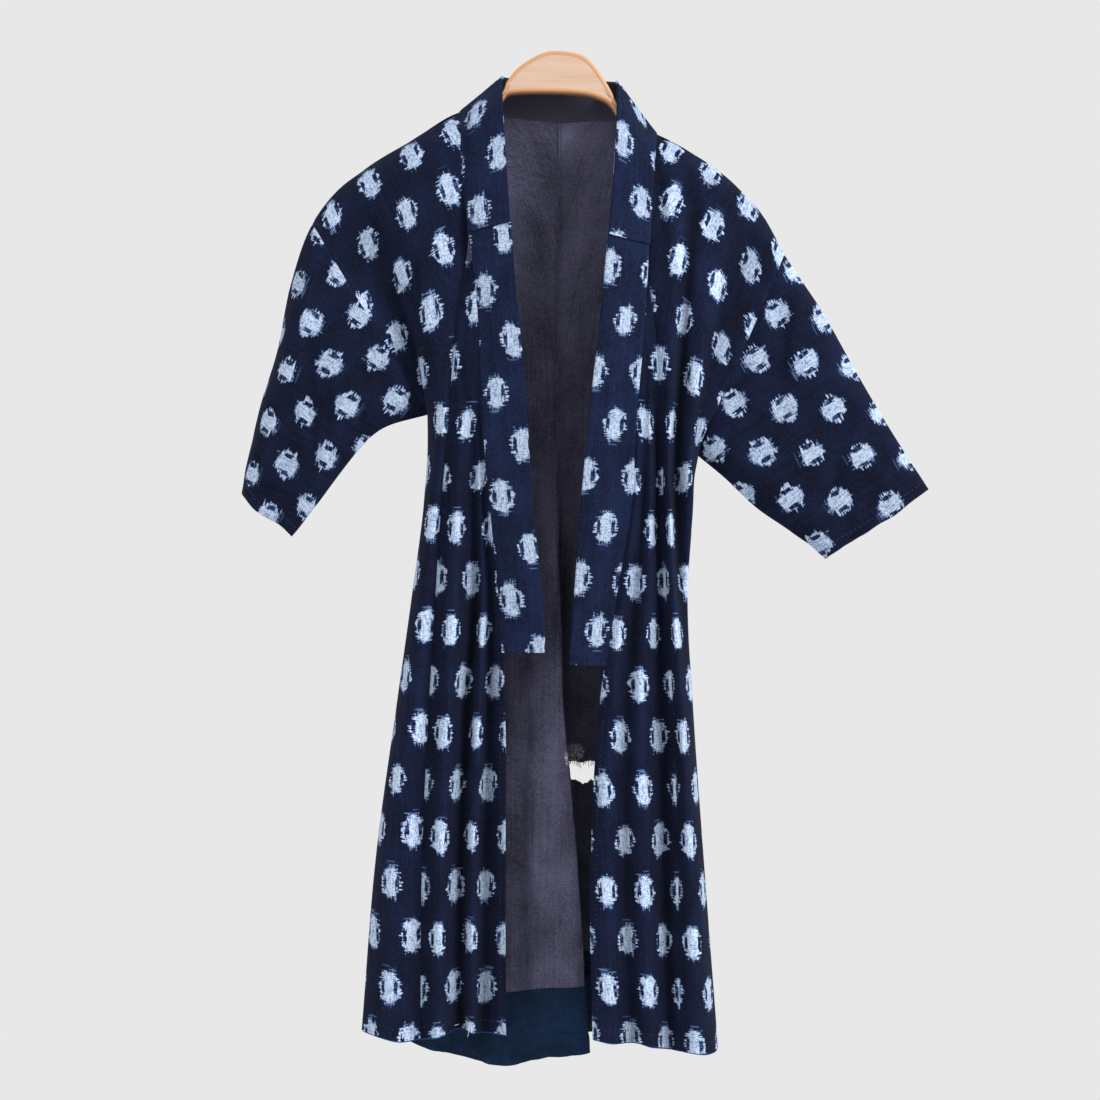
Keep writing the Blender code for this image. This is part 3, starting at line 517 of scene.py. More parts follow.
def collar_points(side: Side, front: Rows) -> Rows:
    """Seam, middle and free edge of the collar beside one front, knee row to shoulder."""
    free_edge = COLLAR_FREE[side.value]
    rows = []
    for k, free in enumerate(free_edge):
        r = COLLAR_FIRST_ROW + k
        seam = front[r][SEAM if is_above_tip(r) else 0]
        free_point = place(*free)
        middle = (seam + free_point) / 2
        middle[1] -= COLLAR_BULGE * MM * (k < len(free_edge) - 1)
        rows.append([seam, middle, free_point])
    return rows


def armhole_ring(front: Rows, back: Rows, column: int) -> list[Point]:
    """Points of one column up the front of the armhole and down behind."""
    down = [back[r][column] for r in reversed(ARMHOLE_ROWS)]
    return [front[r][column] for r in ARMHOLE_ROWS] + down[1:]


def sleeve_points(side: Side, front: Rows, back: Rows) -> Rows:
    """Rings of a sleeve, armhole to cuff, from the lower fold up the front and down behind."""
    rings = [armhole_ring(front, back, -1)]
    for station in SLEEVES[side.value]:
        top, low = (np.array(station[k:k + 3], dtype=float) for k in (0, 3))
        ring = []
        for face, (near_low, near_top) in ((-1, station[6:8]), (1, station[8:])):
            bulges = (0, near_low * 0.6, near_low, (near_low + near_top) / 2, near_top,
                      near_top * 0.55, 0)
            half = []
            for fraction, bulge in zip((0.0,) + RISE, bulges):
                point = low + (top - low) * fraction
                point[1] += face * bulge
                half.append(place(*point))
            ring += half if face < 0 else half[::-1][1:]
        rings.append(ring)
    return rings


def pad_rows(rows: Rows, before: list[Point] | None = None,
             after: list[Point] | None = None) -> Rows:
    """Add a spare row at each end, carried straight on where none is given."""
    first = before or [2 * a - b for a, b in zip(rows[0], rows[1])]
    last = after or [2 * a - b for a, b in zip(rows[-1], rows[-2])]
    return [first] + rows + [last]


def pad_columns(rows: Rows, before: list[Point] | None = None,
                after: list[Point] | None = None) -> Rows:
    """Add a spare column at each side, carried straight on where none is given."""
    first = before or [2 * row[0] - row[1] for row in rows]
    last = after or [2 * row[-1] - row[-2] for row in rows]
    return [[a] + list(row) + [b] for a, row, b in zip(first, rows, last)]


def neighbour(inner: Point, seam: Point, beyond: Point) -> Point:
    """The point past a seam, brought to the near side's spacing so that both sides agree."""
    reach = np.linalg.norm(beyond - seam)
    return seam + (beyond - seam) * np.linalg.norm(inner - seam) / reach


class Half:
    """One half of the garment: its control points and the surfaces that they carry."""

    def __init__(self, side: Side) -> None:
        """Work out the control points of one side's front, back, collar and sleeve."""
        self.side = side
        self.front = front_grid(side)
        self.back = back_grid(side)
        self.collar = collar_points(side, self.front)
        self.sleeve = sleeve_points(side, self.front, self.back)

    def beyond_side(self, own: Rows, other: Rows) -> list[Point]:
        """Neighbours past the side column: the other panel below, the sleeve above."""
        ring = self.sleeve[1]
        beyond = []
        for r, row in enumerate(own):
            step = r - UNDERARM
            if step <= 1:
                past = other[r][-2]
            else:
                past = ring[step] if own is self.front else ring[len(ring) - 1 - step]
            beyond.append(neighbour(row[-2], row[-1], past))
        return beyond

    def overlap_surface(self) -> Surface:
        """The overlap panel, from its free edge to its seam with the front."""
        before = [2 * row[0] - row[1] for row in self.front[:COLLAR_FIRST_ROW]]
        before += [middle for _seam, middle, _free in self.collar]
        before = [neighbour(row[1], row[0], past) for row, past in zip(self.front, before)]
        after = [neighbour(row[SEAM - 1], row[SEAM], row[SEAM + 1]) for row in self.front]
        rows = pad_rows(pad_columns([row[:SEAM + 1] for row in self.front], before, after))
        return Surface(rows, ROW_KNOTS, uniform_knots(SEAM + 1), -self.side.sign)

    def across_shoulder(self, back_row: list[Point]) -> list[Point]:
        """A row of the back, read at the front's columns, for the fold over the shoulder."""
        row = []
        for c in range(len(FRONT_COLUMNS)):
            at = NECK + (BACK_LAST - NECK) * max(c - SEAM, 0) / (FRONT_LAST - SEAM)
            low = min(int(at), BACK_LAST - 1)
            row.append(back_row[low] + (back_row[low + 1] - back_row[low]) * (at - low))
        return row

    def front_surface(self) -> Surface:
        """The front panel, from the overlap seam to the side seam."""
        before = []
        for r, row in enumerate(self.front):
            is_below = r < UNDERARM + OVERLAP_TIP + 1
            past = row[SEAM - 1] if is_below else self.collar[r - COLLAR_FIRST_ROW][1]
            before.append(neighbour(row[SEAM + 1], row[SEAM], past))
        own = [row[SEAM:] for row in self.front]
        rows = pad_columns(own, before, self.beyond_side(self.front, self.back))
        over = self.across_shoulder(self.back[-2])[SEAM:]
        rows = pad_rows(rows, after=[rows[-2][0]] + over + [rows[-2][-1]])
        return Surface(rows, ROW_KNOTS, uniform_knots(len(own[0])), -self.side.sign, True)

    def back_surface(self, other: "Half") -> Surface:
        """The back half, from the centre seam to the side seam."""
        before = [neighbour(own[1], own[0], past[1])
                  for own, past in zip(self.back, other.back)]
        rows = pad_rows(pad_columns(self.back, before, self.beyond_side(self.back, self.front)))
        return Surface(rows, ROW_KNOTS, uniform_knots(len(BACK_COLUMNS)), self.side.sign, True)

    def collar_surface(self) -> Surface:
        """The collar beside this front, from below its end to the shoulder."""
        before = []
        for r, (seam, middle, _free) in enumerate(self.collar, COLLAR_FIRST_ROW):
            past = self.front[r][SEAM + 1 if is_above_tip(r) else 1]
            before.append(neighbour(middle, seam, past))
        rows = pad_rows(pad_columns(self.collar, before))
        return Surface(rows, ROW_KNOTS[COLLAR_FIRST_ROW:], uniform_knots(3), self.side.sign)

    def sleeve_surface(self) -> Surface:
        """The sleeve as a sheet rolled round from its lower fold, rows from root to cuff."""
        root = self.sleeve[0]
        below = neighbour(root[1], root[0], self.front[UNDERARM - 1][-1])
        before = [below] + [ring[-2] for ring in self.sleeve[1:]]
        after = [below] + [ring[1] for ring in self.sleeve[1:]]
        inside = armhole_ring(self.front, self.back, -2)
        inner = []
        for k, (own, seam) in enumerate(zip(self.sleeve[1], root)):
            at_underarm = k < 2 or k > len(root) - 3
            inner.append(2 * seam - own if at_underarm else neighbour(own, seam, inside[k]))
        inner = [inner[0]] + inner + [inner[-1]]
        rows = pad_rows(pad_columns(self.sleeve, before, after), before=inner)
        knots = list(ROW_KNOTS[len(ROWS):-1])
        knots += [2 * SHOULDER_KNOT - knot for knot in reversed(knots[:-1])]
        spare = knots[1] - knots[0]
        knots = [knots[0] - spare] + knots + [knots[-1] + spare]
        return Surface(rows, uniform_knots(len(self.sleeve)), knots, self.side.sign)

    def shoulder_collar_row(self) -> list[Point]:
        """The collar's top row, drawn in a little from the shoulder that it stands on."""
        seam, _middle, free = self.collar[-1]
        seam = seam + unit(free - seam) * NECK_GAP * MM
        return [seam, (seam + free) / 2, free]


def back_collar_row(back: Surface, column: float, x: float, y: float, drop: float
                    ) -> list[Point]:
    """Seam, middle and free edge of the collar at one station behind the neck."""
    free = place(x, y, drop)
    seam = back.points([SHOULDER_KNOT], [column])[0, 0]
    seam = seam + unit(free - seam) * NECK_GAP * MM
    middle = (seam + free) / 2
    middle[1] += COLLAR_BULGE * MM
    return [seam, middle, free]


def back_collar_surface(right: Half, left: Half) -> Surface:
    """The collar behind the neck, from the right shoulder to the left one."""
    right_back, left_back = right.back_surface(left), left.back_surface(right)
    rows = [right.shoulder_collar_row()]
    rows += [back_collar_row(right_back, *station) for station in COLLAR_BACK["right"]]
    rows.append(back_collar_row(right_back, *COLLAR_BACK_CENTRE))
    rows += [back_collar_row(left_back, *station) for station in reversed(COLLAR_BACK["left"])]
    rows.append(left.shoulder_collar_row())
    rows = pad_columns(pad_rows(rows, before=right.collar[-2], after=left.collar[-2]))
    return Surface(rows, uniform_knots(len(rows) - 2), uniform_knots(3), -1)


# The cloth's own unevenness: soft creases and a gentle buckle


def ease(value: Point) -> Point:
    """A value clipped to 0..1 and eased at both ends."""
    clipped = np.clip(value, 0.0, 1.0)
    return clipped * clipped * (3 - 2 * clipped)


def smooth_noise(points: Point, size: float, seed: int) -> Point:
    """Smooth random values at points in space.

    Args:
        points: Points in millimetres, any shape by 3.
        size: Distance over which the value changes.
        seed: Which random field to read.

    Returns:
        One value from -1 to 1 for each point.
    """
    scaled = points / size
    cell = np.floor(scaled).astype(np.int64)
    share = ease(scaled - cell)
    total = np.zeros(points.shape[:-1])
    for corner in np.ndindex(2, 2, 2):
        at = cell + corner
        key = at[..., 0] * 73856093 ^ at[..., 1] * 19349663 ^ at[..., 2] * 83492791 ^ seed * 7919
        key = (key ^ (key >> 13)) * 1274126177
        value = ((key ^ (key >> 16)) & 0xFFFF) / 0x8000 - 1.0
        total += value * np.prod(np.where(corner, share, 1 - share), axis=-1)
    return total


@dataclass(frozen=True)
class CreaseLine:
    """A soft crease that follows a line on the cloth.

    Attributes:
        path: x and drop of the points along it.
        depth: How far it stands out or sinks in.
        width: Half of its width.
        kind: The form of its section.
        faces_front: Whether it lies on the garment's front or on its back.
    """

    path: tuple[tuple[float, float], ...]
    depth: float
    width: float
    kind: Crease = Crease.TROUGH
    faces_front: bool = True

    def height(self, points: Point) -> Point:
        """How far the crease moves each point, given as x, y and drop, out of the cloth."""
        flat = points[..., ::2]
        path = np.array(self.path, dtype=float)
        lengths = np.linalg.norm(np.diff(path, axis=0), axis=1)
        starts = np.concatenate(([0.0], np.cumsum(lengths)))
        nearest = np.full(flat.shape[:-1], np.inf)
        signed = np.zeros_like(nearest)
        along = np.zeros_like(nearest)
        for k, length in enumerate(lengths):
            run = (path[k + 1] - path[k]) / length
            away = flat - path[k]
            at = np.clip(away @ run, 0.0, length)
            distance = np.linalg.norm(away - at[..., None] * run, axis=-1)
            side = np.sign(away[..., 0] * run[1] - away[..., 1] * run[0])
            closer = distance < nearest
            nearest = np.where(closer, distance, nearest)
            signed = np.where(closer, side * distance, signed)
            along = np.where(closer, starts[k] + at, along)
        share = along / starts[-1]
        taper = np.sqrt(np.clip(4 * share * (1 - share), 0.0, 1.0))
        if self.kind is Crease.STEP:
            form = np.tanh(signed / self.width) * np.exp(-(nearest / (4 * self.width)) ** 2)
        else:
            bell = np.exp(-(nearest / self.width) ** 2)
            form = bell if self.kind is Crease.RIDGE else -bell
        facing = ease((-1 if self.faces_front else 1) * points[..., 1] / FACING_REACH)
        return self.depth * form * (0.25 + 0.75 * taper) * facing


CREASES = tuple(CreaseLine(*values) for values in (
    # Wearer's right sleeve and front
    (((-265, 174), (-266, 230), (-269, 272)), 2.6, 5, Crease.STEP),
    (((-260, 272), (-257, 345), (-253, 419)), 3.4, 7),
    (((-210, 345), (-199, 386)), 3.0, 6),
    (((-316, 388), (-313, 458)), 2.4, 6),
    (((-236, 300), (-228, 352), (-231, 396)), 2.6, 7, Crease.RIDGE),
    (((-169, 289), (-133, 364)), 3.0, 7),
    (((-141, 191), (-134, 270), (-137, 364)), 3.4, 8, Crease.RIDGE),
    (((-94, 17), (-100, 133), (-100, 196), (-106, 269)), 2.4, 6),
    (((-196, 226), (-176, 300), (-152, 362)), 2.2, 9, Crease.RIDGE),
    # Wearer's left sleeve and front
    (((247, 199), (252, 223), (248, 284), (244, 317)), 4.2, 5, Crease.STEP),
    (((214, 233), (202, 296), (189, 359)), 3.0, 7),
    (((277, 264), (257, 337), (232, 411)), 2.6, 8, Crease.RIDGE),
    (((320, 336), (302, 410), (291, 473)), 2.8, 7),
    (((143, 87), (157, 132), (153, 169), (145, 250), (144, 298)), 3.6, 8,
     Crease.RIDGE),
    (((102, 60), (115, 170), (121, 290)), 3.0, 7),
    (((196, 312), (153, 394)), 2.6, 7),
    (((231, 350), (166, 397)), 2.6, 6),
    (((362, 392), (346, 440), (336, 486)), 2.0, 6, Crease.RIDGE),
    # Back and its lining
    (((-41, 426), (-25, 420), (-6, 423)), 1.6, 4, Crease.TROUGH, False),
    (((-27, 835), (0, 841), (23, 837)), 1.5, 4, Crease.TROUGH, False),
    (((-30, 540), (-24, 690), (-29, 860), (-22, 990)), 2.6, 9, Crease.RIDGE, False),
    (((-62, 60), (-84, 180), (-102, 320)), 3.0, 9, Crease.RIDGE, False),
    (((60, 60), (88, 190), (118, 340)), 3.0, 9, Crease.TROUGH, False),
    (((-205, 110), (-190, 220), (-168, 330)), 3.4, 8, Crease.TROUGH, False),
    (((214, 140), (212, 250), (196, 350)), 3.6, 8, Crease.STEP, False),
    (((300, 300), (280, 380), (268, 450)), 2.6, 8, Crease.RIDGE, False),
    (((-284, 250), (-266, 330), (-262, 410)), 2.6, 8, Crease.STEP, False),
))


@dataclass(frozen=True)
class Drape:
    """How the cloth departs from its smooth sections.

    Attributes:
        creases: The listed creases.
        buckles: Size and height of each layer of uneven buckling.
        clear_of_hanger: Depth within which the cloth stays flat.
    """

    creases: tuple[CreaseLine, ...] = CREASES
    buckles: tuple[tuple[float, float], ...] = ((85.0, 2.2), (34.0, 0.9), (13.0, 0.3))
    clear_of_hanger: float = 9.0

    def height(self, points: Point) -> Point:
        """How far the cloth stands out of its smooth section at each point, in millimetres."""
        shaped = points / MM * np.array((1.0, 1.0, -1.0)) + np.array((0.0, HANGER_THICK / 2, 0.0))
        stretched = shaped * np.array((1.0, 1.0, 0.45))
        total = np.zeros(points.shape[:-1])
        for seed, (size, amount) in enumerate(self.buckles, 11):
            total += amount * smooth_noise(stretched, size, seed)
        total *= ease((np.abs(shaped[..., 1]) - self.clear_of_hanger) / FACING_REACH)
        for crease in self.creases:
            total += crease.height(shaped)
        return total


# Cloth pieces as thin closed shells


def steps_between(points: Point, axis: int) -> Point:
    """Lengths between neighbouring points along an axis, in millimetres, with 0 first."""
    lengths = np.linalg.norm(np.diff(points, axis=axis), axis=-1) / MM
    pad = [(0, 0), (0, 0)]
    pad[axis] = (1, 0)
    return np.pad(lengths, pad)


def running(points: Point, axis: int) -> Point:
    """Distance of each point from the grid's first row or column, along the cloth."""
    return np.cumsum(steps_between(points, axis), axis=axis)


def from_sides(run: Point) -> Point:
    """Distance from the nearer side edge, given that from the first one."""
    return np.minimum(run, run[:, -1:] - run)


def on_grid(weft: Point, warp: Point) -> Point:
    """Weft and warp coordinates, stacked last."""
    return np.stack(np.broadcast_arrays(weft, warp), axis=-1)


def grid_normals(points: Point, outward: int) -> Point:
    """Unit normals of a grid of points, out of the garment."""
    return unit(np.cross(np.gradient(points, axis=0), np.gradient(points, axis=1)) * outward)


def fold_heights(points: Point, outward: int, reach: float = 9.0) -> Point:
    """How far each point of a grid stands out of the cloth around it.

    Args:
        points: Rows by columns by 3.
        outward: Sign that turns its normals out.
        reach: Distance over which the cloth around is averaged.

    Returns:
        Heights, below 0 in a valley.
    """
    run = running(points, 1)[points.shape[0] // 2]
    weights = np.exp(-((run[:, None] - run) / reach) ** 2) * np.gradient(run)
    weights /= weights.sum(axis=1, keepdims=True)
    around = np.einsum("cd,rdk->rck", weights, points)
    return np.sum((points - around) * grid_normals(points, outward), axis=-1) / MM


@dataclass
class Patch:
    """A grid of the cloth's middle surface.

    Attributes:
        points: Rows by columns by 3.
        cloth: The same points on the flat cloth, in millimetres: weft, then warp.
        outward: Sign that turns its normals out of the garment.
        half_wall: Half of the wall at each point.
        lift: How far out of the middle surface the piece lies.
    """

    points: Point
    cloth: Point
    outward: int
    half_wall: Point
    lift: float = 0.0

    def part(self, rows: slice, columns: slice) -> "Patch":
        """The same patch over some of its rows and columns."""
        return Patch(self.points[rows, columns], self.cloth[rows, columns], self.outward,
                     self.half_wall[rows, columns], self.lift)

    def shade(self) -> Point:
        """How far each point stands out of the cloth around it, most of all along seams, for the
        painted shade of folds and seams.
        """
        turned = self.points.swapaxes(0, 1)
        return (fold_heights(self.points, self.outward)
                + 2 * fold_heights(self.points, self.outward, SEAM_SHADE)
                + 2 * fold_heights(turned, -self.outward, SEAM_SHADE).T)

    def quads(self, start: int) -> Point:
        """Corner numbers of its faces, facing out, with its points counted from start."""
        rows, columns = self.points.shape[:2]
        numbers = start + np.arange(rows * columns).reshape(rows, columns)
        quads = np.stack((numbers[:-1, :-1], numbers[:-1, 1:], numbers[1:, 1:],
                          numbers[1:, :-1]), axis=-1).reshape(-1, 4)
        return quads[:, ::-1] if self.outward > 0 else quads


def rounded_edges(widths: Point, wall: float, edge: float, radius: float) -> Point:
    """Half of a wall that thins towards its ends.

    Args:
        widths: Distance of each point from the nearer end.
        wall: The whole wall away from the ends.
        edge: The whole wall at the ends.
        radius: How far in the thinning reaches.

    Returns:
        Half of the wall at each point.
    """
    share = np.clip(widths / radius, 0.0, 1.0)
    return (edge + (wall - edge) * np.sqrt(1 - (1 - share) ** 2)) / 2


def shell_mesh(name: str, patches: Sequence[Patch],
               hole: Callable[[Point], Point] | None = None) -> Mesh:
    """Join patches into one closed shell of thin cloth.

    Args:
        name: The mesh's name.
        patches: Patches that share points exactly where they meet.
        hole: Tells for face centres which faces are worn away.

    Returns:
        A mesh with the corner attribute "cloth" (weft, warp, and 1 on the inner face) and
        the point attribute "fold" (height above the cloth around it).
    """
    given = np.concatenate([p.points.reshape(-1, 3) for p in patches])
    _found, first, index = np.unique(np.round(given / WELD), axis=0, return_index=True,
                                     return_inverse=True)
    index = index.reshape(-1)
    middle = given[first]
    normals = np.zeros_like(middle)
    np.add.at(normals, index, np.concatenate(
        [grid_normals(p.points, p.outward).reshape(-1, 3) for p in patches]))
    normals = unit(normals)
    half = np.concatenate([p.half_wall.reshape(-1) for p in patches])[first][:, None] * MM
    lift = np.concatenate([np.full(p.half_wall.size, p.lift) for p in patches])[first]
    lift = lift[:, None] * MM
    starts = np.cumsum([0] + [p.half_wall.size for p in patches])
    corners = np.concatenate([p.quads(start) for p, start in zip(patches, starts)])
    if hole is not None:
        corners = corners[~hole(middle[index[corners]].mean(axis=1))]
    # The rim closes every edge that has a face on one side only
    sides = np.concatenate([corners[:, [k, (k + 1) % 4]] for k in range(4)])
    _unique, where, times = np.unique(np.sort(index[sides], axis=1), axis=0,
                                      return_inverse=True, return_counts=True)
    a, b = sides[times[where.reshape(-1)] == 1].T
    count = len(middle)
    faces = index[corners]
    rim = np.stack((index[b], index[a], index[a] + count, index[b] + count), 1)
    all_faces = np.concatenate((faces, faces[:, ::-1] + count, rim))
    all_corners = np.concatenate((corners, corners[:, ::-1], np.stack((b, a, a, b), 1)))
    vertices = np.concatenate((middle + normals * (lift + half), middle + normals * (lift - half)))
    used, compact = np.unique(all_faces, return_inverse=True)
    mesh = bpy.data.meshes.new(name)
    mesh.from_pydata(vertices[used].tolist(), [], compact.reshape(-1, 4).tolist())
    values = np.zeros((all_corners.size, 3), dtype=np.float32)
    values[:, :2] = np.concatenate([p.cloth.reshape(-1, 2) for p in patches])[
        all_corners.reshape(-1)]
    values[:, 2] = np.repeat((0.0, 1.0, 0.0), (faces.size, faces.size, rim.size))
    cloth = mesh.attributes.new("cloth", "FLOAT_VECTOR", "CORNER")
    cloth.data.foreach_set("vector", values.ravel())
    heights = np.zeros(count)
    heights[index] = np.concatenate([p.shade().reshape(-1) for p in patches])
    fold = mesh.attributes.new("fold", "FLOAT", "POINT")
    fold.data.foreach_set("value", np.concatenate((heights, -heights))[used].astype(np.float32))
    mesh.shade_smooth()
    mesh.set_sharp_from_angle(angle=math.radians(CLOTH_SHARP))
    mesh.update()
    return mesh


def join_rings(shape: BMesh, rings: Sequence[Sequence[BMVert]]) -> None:
    """Add the faces between neighbouring closed rings of as many vertices."""
    for near, far in zip(rings, rings[1:]):
        for k in range(len(near)):
            n = (k + 1) % len(near)
            shape.faces.new((near[k], near[n], far[n], far[k]))


def finished_mesh(name: str, shape: BMesh, is_smooth: bool = True) -> Mesh:
    """Turn a shape into a mesh whose faces all look outwards."""
    bmesh.ops.recalc_face_normals(shape, faces=shape.faces)
    mesh = bpy.data.meshes.new(name)
    shape.to_mesh(mesh)
    shape.free()
    if is_smooth:
        mesh.shade_smooth()
    return mesh


def add_object(name: str, data: ID) -> Object:
    """A new object in the scene, at the origin."""
    made = bpy.data.objects.new(name, data)
    bpy.context.scene.collection.objects.link(made)
    return made


def show(name: str, mesh: Mesh, finish: Material,
         replaces: Sequence[str] = ()) -> Object:
    """Put a finished mesh in the scene, on the garment's one body.

    Args:
        name: The piece's name.
        mesh: Its mesh.
        finish: Its material, appended if the mesh has none.
        replaces: The plain solids that it stands for.

    Returns:
        The new object.
    """
    piece = add_object(name, mesh)
    if not mesh.materials:
        mesh.materials.append(finish)
    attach(piece, "root")
    if replaces:
        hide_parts(*replaces)
    log.info("%s: %d faces", name, len(mesh.polygons))
    return piece


def inside_outline(points: Point, outline: Sequence[tuple[float, float]]) -> Point:
    """Tell which points, given as x and drop in millimetres, lie inside a closed outline."""
    inside = np.zeros(len(points), dtype=bool)
    for (ax, ay), (bx, by) in zip(outline, outline[1:] + outline[:1]):
        crosses = (ay > points[:, 1]) != (by > points[:, 1])
        span = by - ay if by != ay else 1e-9
        at = ax + (points[:, 1] - ay) * (bx - ax) / span
        inside ^= crosses & (points[:, 0] < at)
    return inside


def worn_through(centres: Point) -> Point:
    """Tell from the faces' centres, in metres, which faces of the left back are worn away."""
    flat = np.stack((centres[:, 0], -centres[:, 2]), axis=1) / MM
    depth = centres[:, 1] / MM + HANGER_THICK / 2
    wobble = smooth_noise(centres / MM, 3.0, 91)[:, None] * 0.8
    is_deep = (depth > TEAR_DEPTH[0]) & (depth < TEAR_DEPTH[1])
    return inside_outline(flat + wobble, TEAR_RIM) & is_deep


# Materials


def linear(hex_colour: str) -> tuple[float, float, float, float]:
    """An sRGB hex colour as linear red, green, blue and 1."""
    parts = [int(hex_colour[k:k + 2], 16) / 255 for k in (1, 3, 5)]
    turned = [c / 12.92 if c <= 0.04045 else ((c + 0.055) / 1.055) ** 2.4 for c in parts]
    return turned[0], turned[1], turned[2], 1.0


def add_node(tree: NodeTree, kind: str, inputs: dict[Any, Any] | None = None,
             **settings: Any) -> Node:
    """Add a node with its settings, values and links.

    Args:
        tree: The node tree.
        kind: The node's type name.
        inputs: Socket name or number to a value, or to the output socket it links from.
        settings: The node's own properties.

    Returns:
        The new node.
    """
    node = tree.nodes.new(kind)
    for name, value in settings.items():
        setattr(node, name, value)
    for key, value in (inputs or {}).items():
        if isinstance(value, NodeSocket):
            tree.links.new(value, node.inputs[key])
        else:
            node.inputs[key].default_value = value
    return node


Step = tuple[Any, ...]
Steps = tuple[Step, ...]

# What each operation of a step stands for: node, inputs that its operands go to, output
# and settings. RAMP rises smoothly from 0 to 1. Any other operation is one of the Math node.
OPERATIONS: dict[str, tuple[str, tuple[Any, ...], Any, dict[str, str]]] = {
    "CLOTH": ("ShaderNodeAttribute", (), "Vector", {"attribute_name": "cloth"}),
    "FOLD": ("ShaderNodeAttribute", (), "Fac", {"attribute_name": "fold"}),
    "RIM": ("ShaderNodeAttribute", (), "Fac", {"attribute_name": "rim"}),
    "OBJECT": ("ShaderNodeTexCoord", (), "Object", {}),
    "X": ("ShaderNodeSeparateXYZ", (0,), 0, {}),
    "Y": ("ShaderNodeSeparateXYZ", (0,), 1, {}),
    "Z": ("ShaderNodeSeparateXYZ", (0,), 2, {}),
    "POINT": ("ShaderNodeCombineXYZ", (0, 1, 2), 0, {}),
    "STRETCH": ("ShaderNodeMapping", ("Vector", "Scale"), 0, {}),
    "NOISE": ("ShaderNodeTexNoise", ("Vector", "Scale", "Detail", "Distortion"), 0, {}),
    "SPECKLE": ("ShaderNodeTexWhiteNoise", ("Vector",), 0, {"noise_dimensions": "3D"}),
    "RANGE": ("ShaderNodeMapRange", ("Value", "From Min", "From Max", "To Min", "To Max"),
              0, {}),
    "RAMP": ("ShaderNodeMapRange", ("Value", "From Min", "From Max"), 0,
             {"interpolation_type": "SMOOTHSTEP"}),
    "BLEND": ("ShaderNodeMix", (0, 6, 7), 2, {"data_type": "RGBA"}),
    "SCALE": ("ShaderNodeVectorMath", (0, "Scale"), 0, {"operation": "SCALE"}),
    "BUMP": ("ShaderNodeBump", ("Height", "Strength", "Distance"), 0, {}),
}


def work_out(tree: NodeTree, found: dict[str, NodeSocket],
             operand: Any) -> Any:
    """Find an operand's socket or value, adding nodes where it is a step.

    Args:
        tree: The node tree.
        found: Output sockets by name.
        operand: A number, a hex colour, a name in found, or a step: an operation and its
            own operands.

    Returns:
        An output socket, or a plain value.
    """
    if isinstance(operand, str):
        return linear(operand) if operand.startswith("#") else found[operand]
    if not isinstance(operand, tuple) or not isinstance(operand[0], str):
        return operand
    operation, *operands = operand
    values = [work_out(tree, found, o) for o in operands]
    if operation not in OPERATIONS:
        node = add_node(tree, "ShaderNodeMath", dict(enumerate(values)), operation=operation)
        return node.outputs[0]
    kind, inputs, output, settings = OPERATIONS[operation]
    return add_node(tree, kind, dict(zip(inputs, values)), **settings).outputs[output]


def on_cloth(per_weft: float, per_warp: float, layer: float) -> Step:
    """The step for a place on the flat cloth, scaled for each millimetre of weft and warp."""
    return "POINT", ("MULTIPLY", "weft", per_weft), ("MULTIPLY", "warp", per_warp), layer


def shade_folds(colour: Step) -> Step:
    """The step that paints shade into cloth in its valleys and along its seams, and lightens
    its ridges, partly as worn dye and partly as painted light.
    """
    return ("SCALE", colour, ("RANGE", ("FOLD",), -6.0, 3.0, 1 - 6 * FOLD_SHADE,
                              1 + 3 * FOLD_SHADE))


WEFT_AND_WARP = (("cloth", "CLOTH"), ("weft", "X", "cloth"), ("warp", "Y", "cloth"))


@dataclass(frozen=True)
class Finish:
    """A material that is worked out by steps: a result's name, an operation, its operands.

    Attributes:
        name: Name of the material.
        surface: Constant values of the shader's inputs.
    """

    name: str
    surface: ClassVar[dict[str, Any]]

    def steps(self) -> Steps:
        """The steps, of which "colour" and "relief" go to the shader."""
        return ()

    def build(self) -> Material:
        """Make the material."""
        made = bpy.data.materials.new(self.name)
        made.use_nodes = True
        tree = made.node_tree
        shader = tree.nodes["Principled BSDF"]
        found: dict[str, NodeSocket] = {}
        for result, *step in self.steps():
            found[result] = work_out(tree, found, tuple(step))
        for result, socket in (("colour", "Base Color"), ("relief", "Normal")):
            if result in found:
                tree.links.new(found[result], shader.inputs[socket])
        for socket, value in self.surface.items():
            shader.inputs[socket].default_value = value
        return made


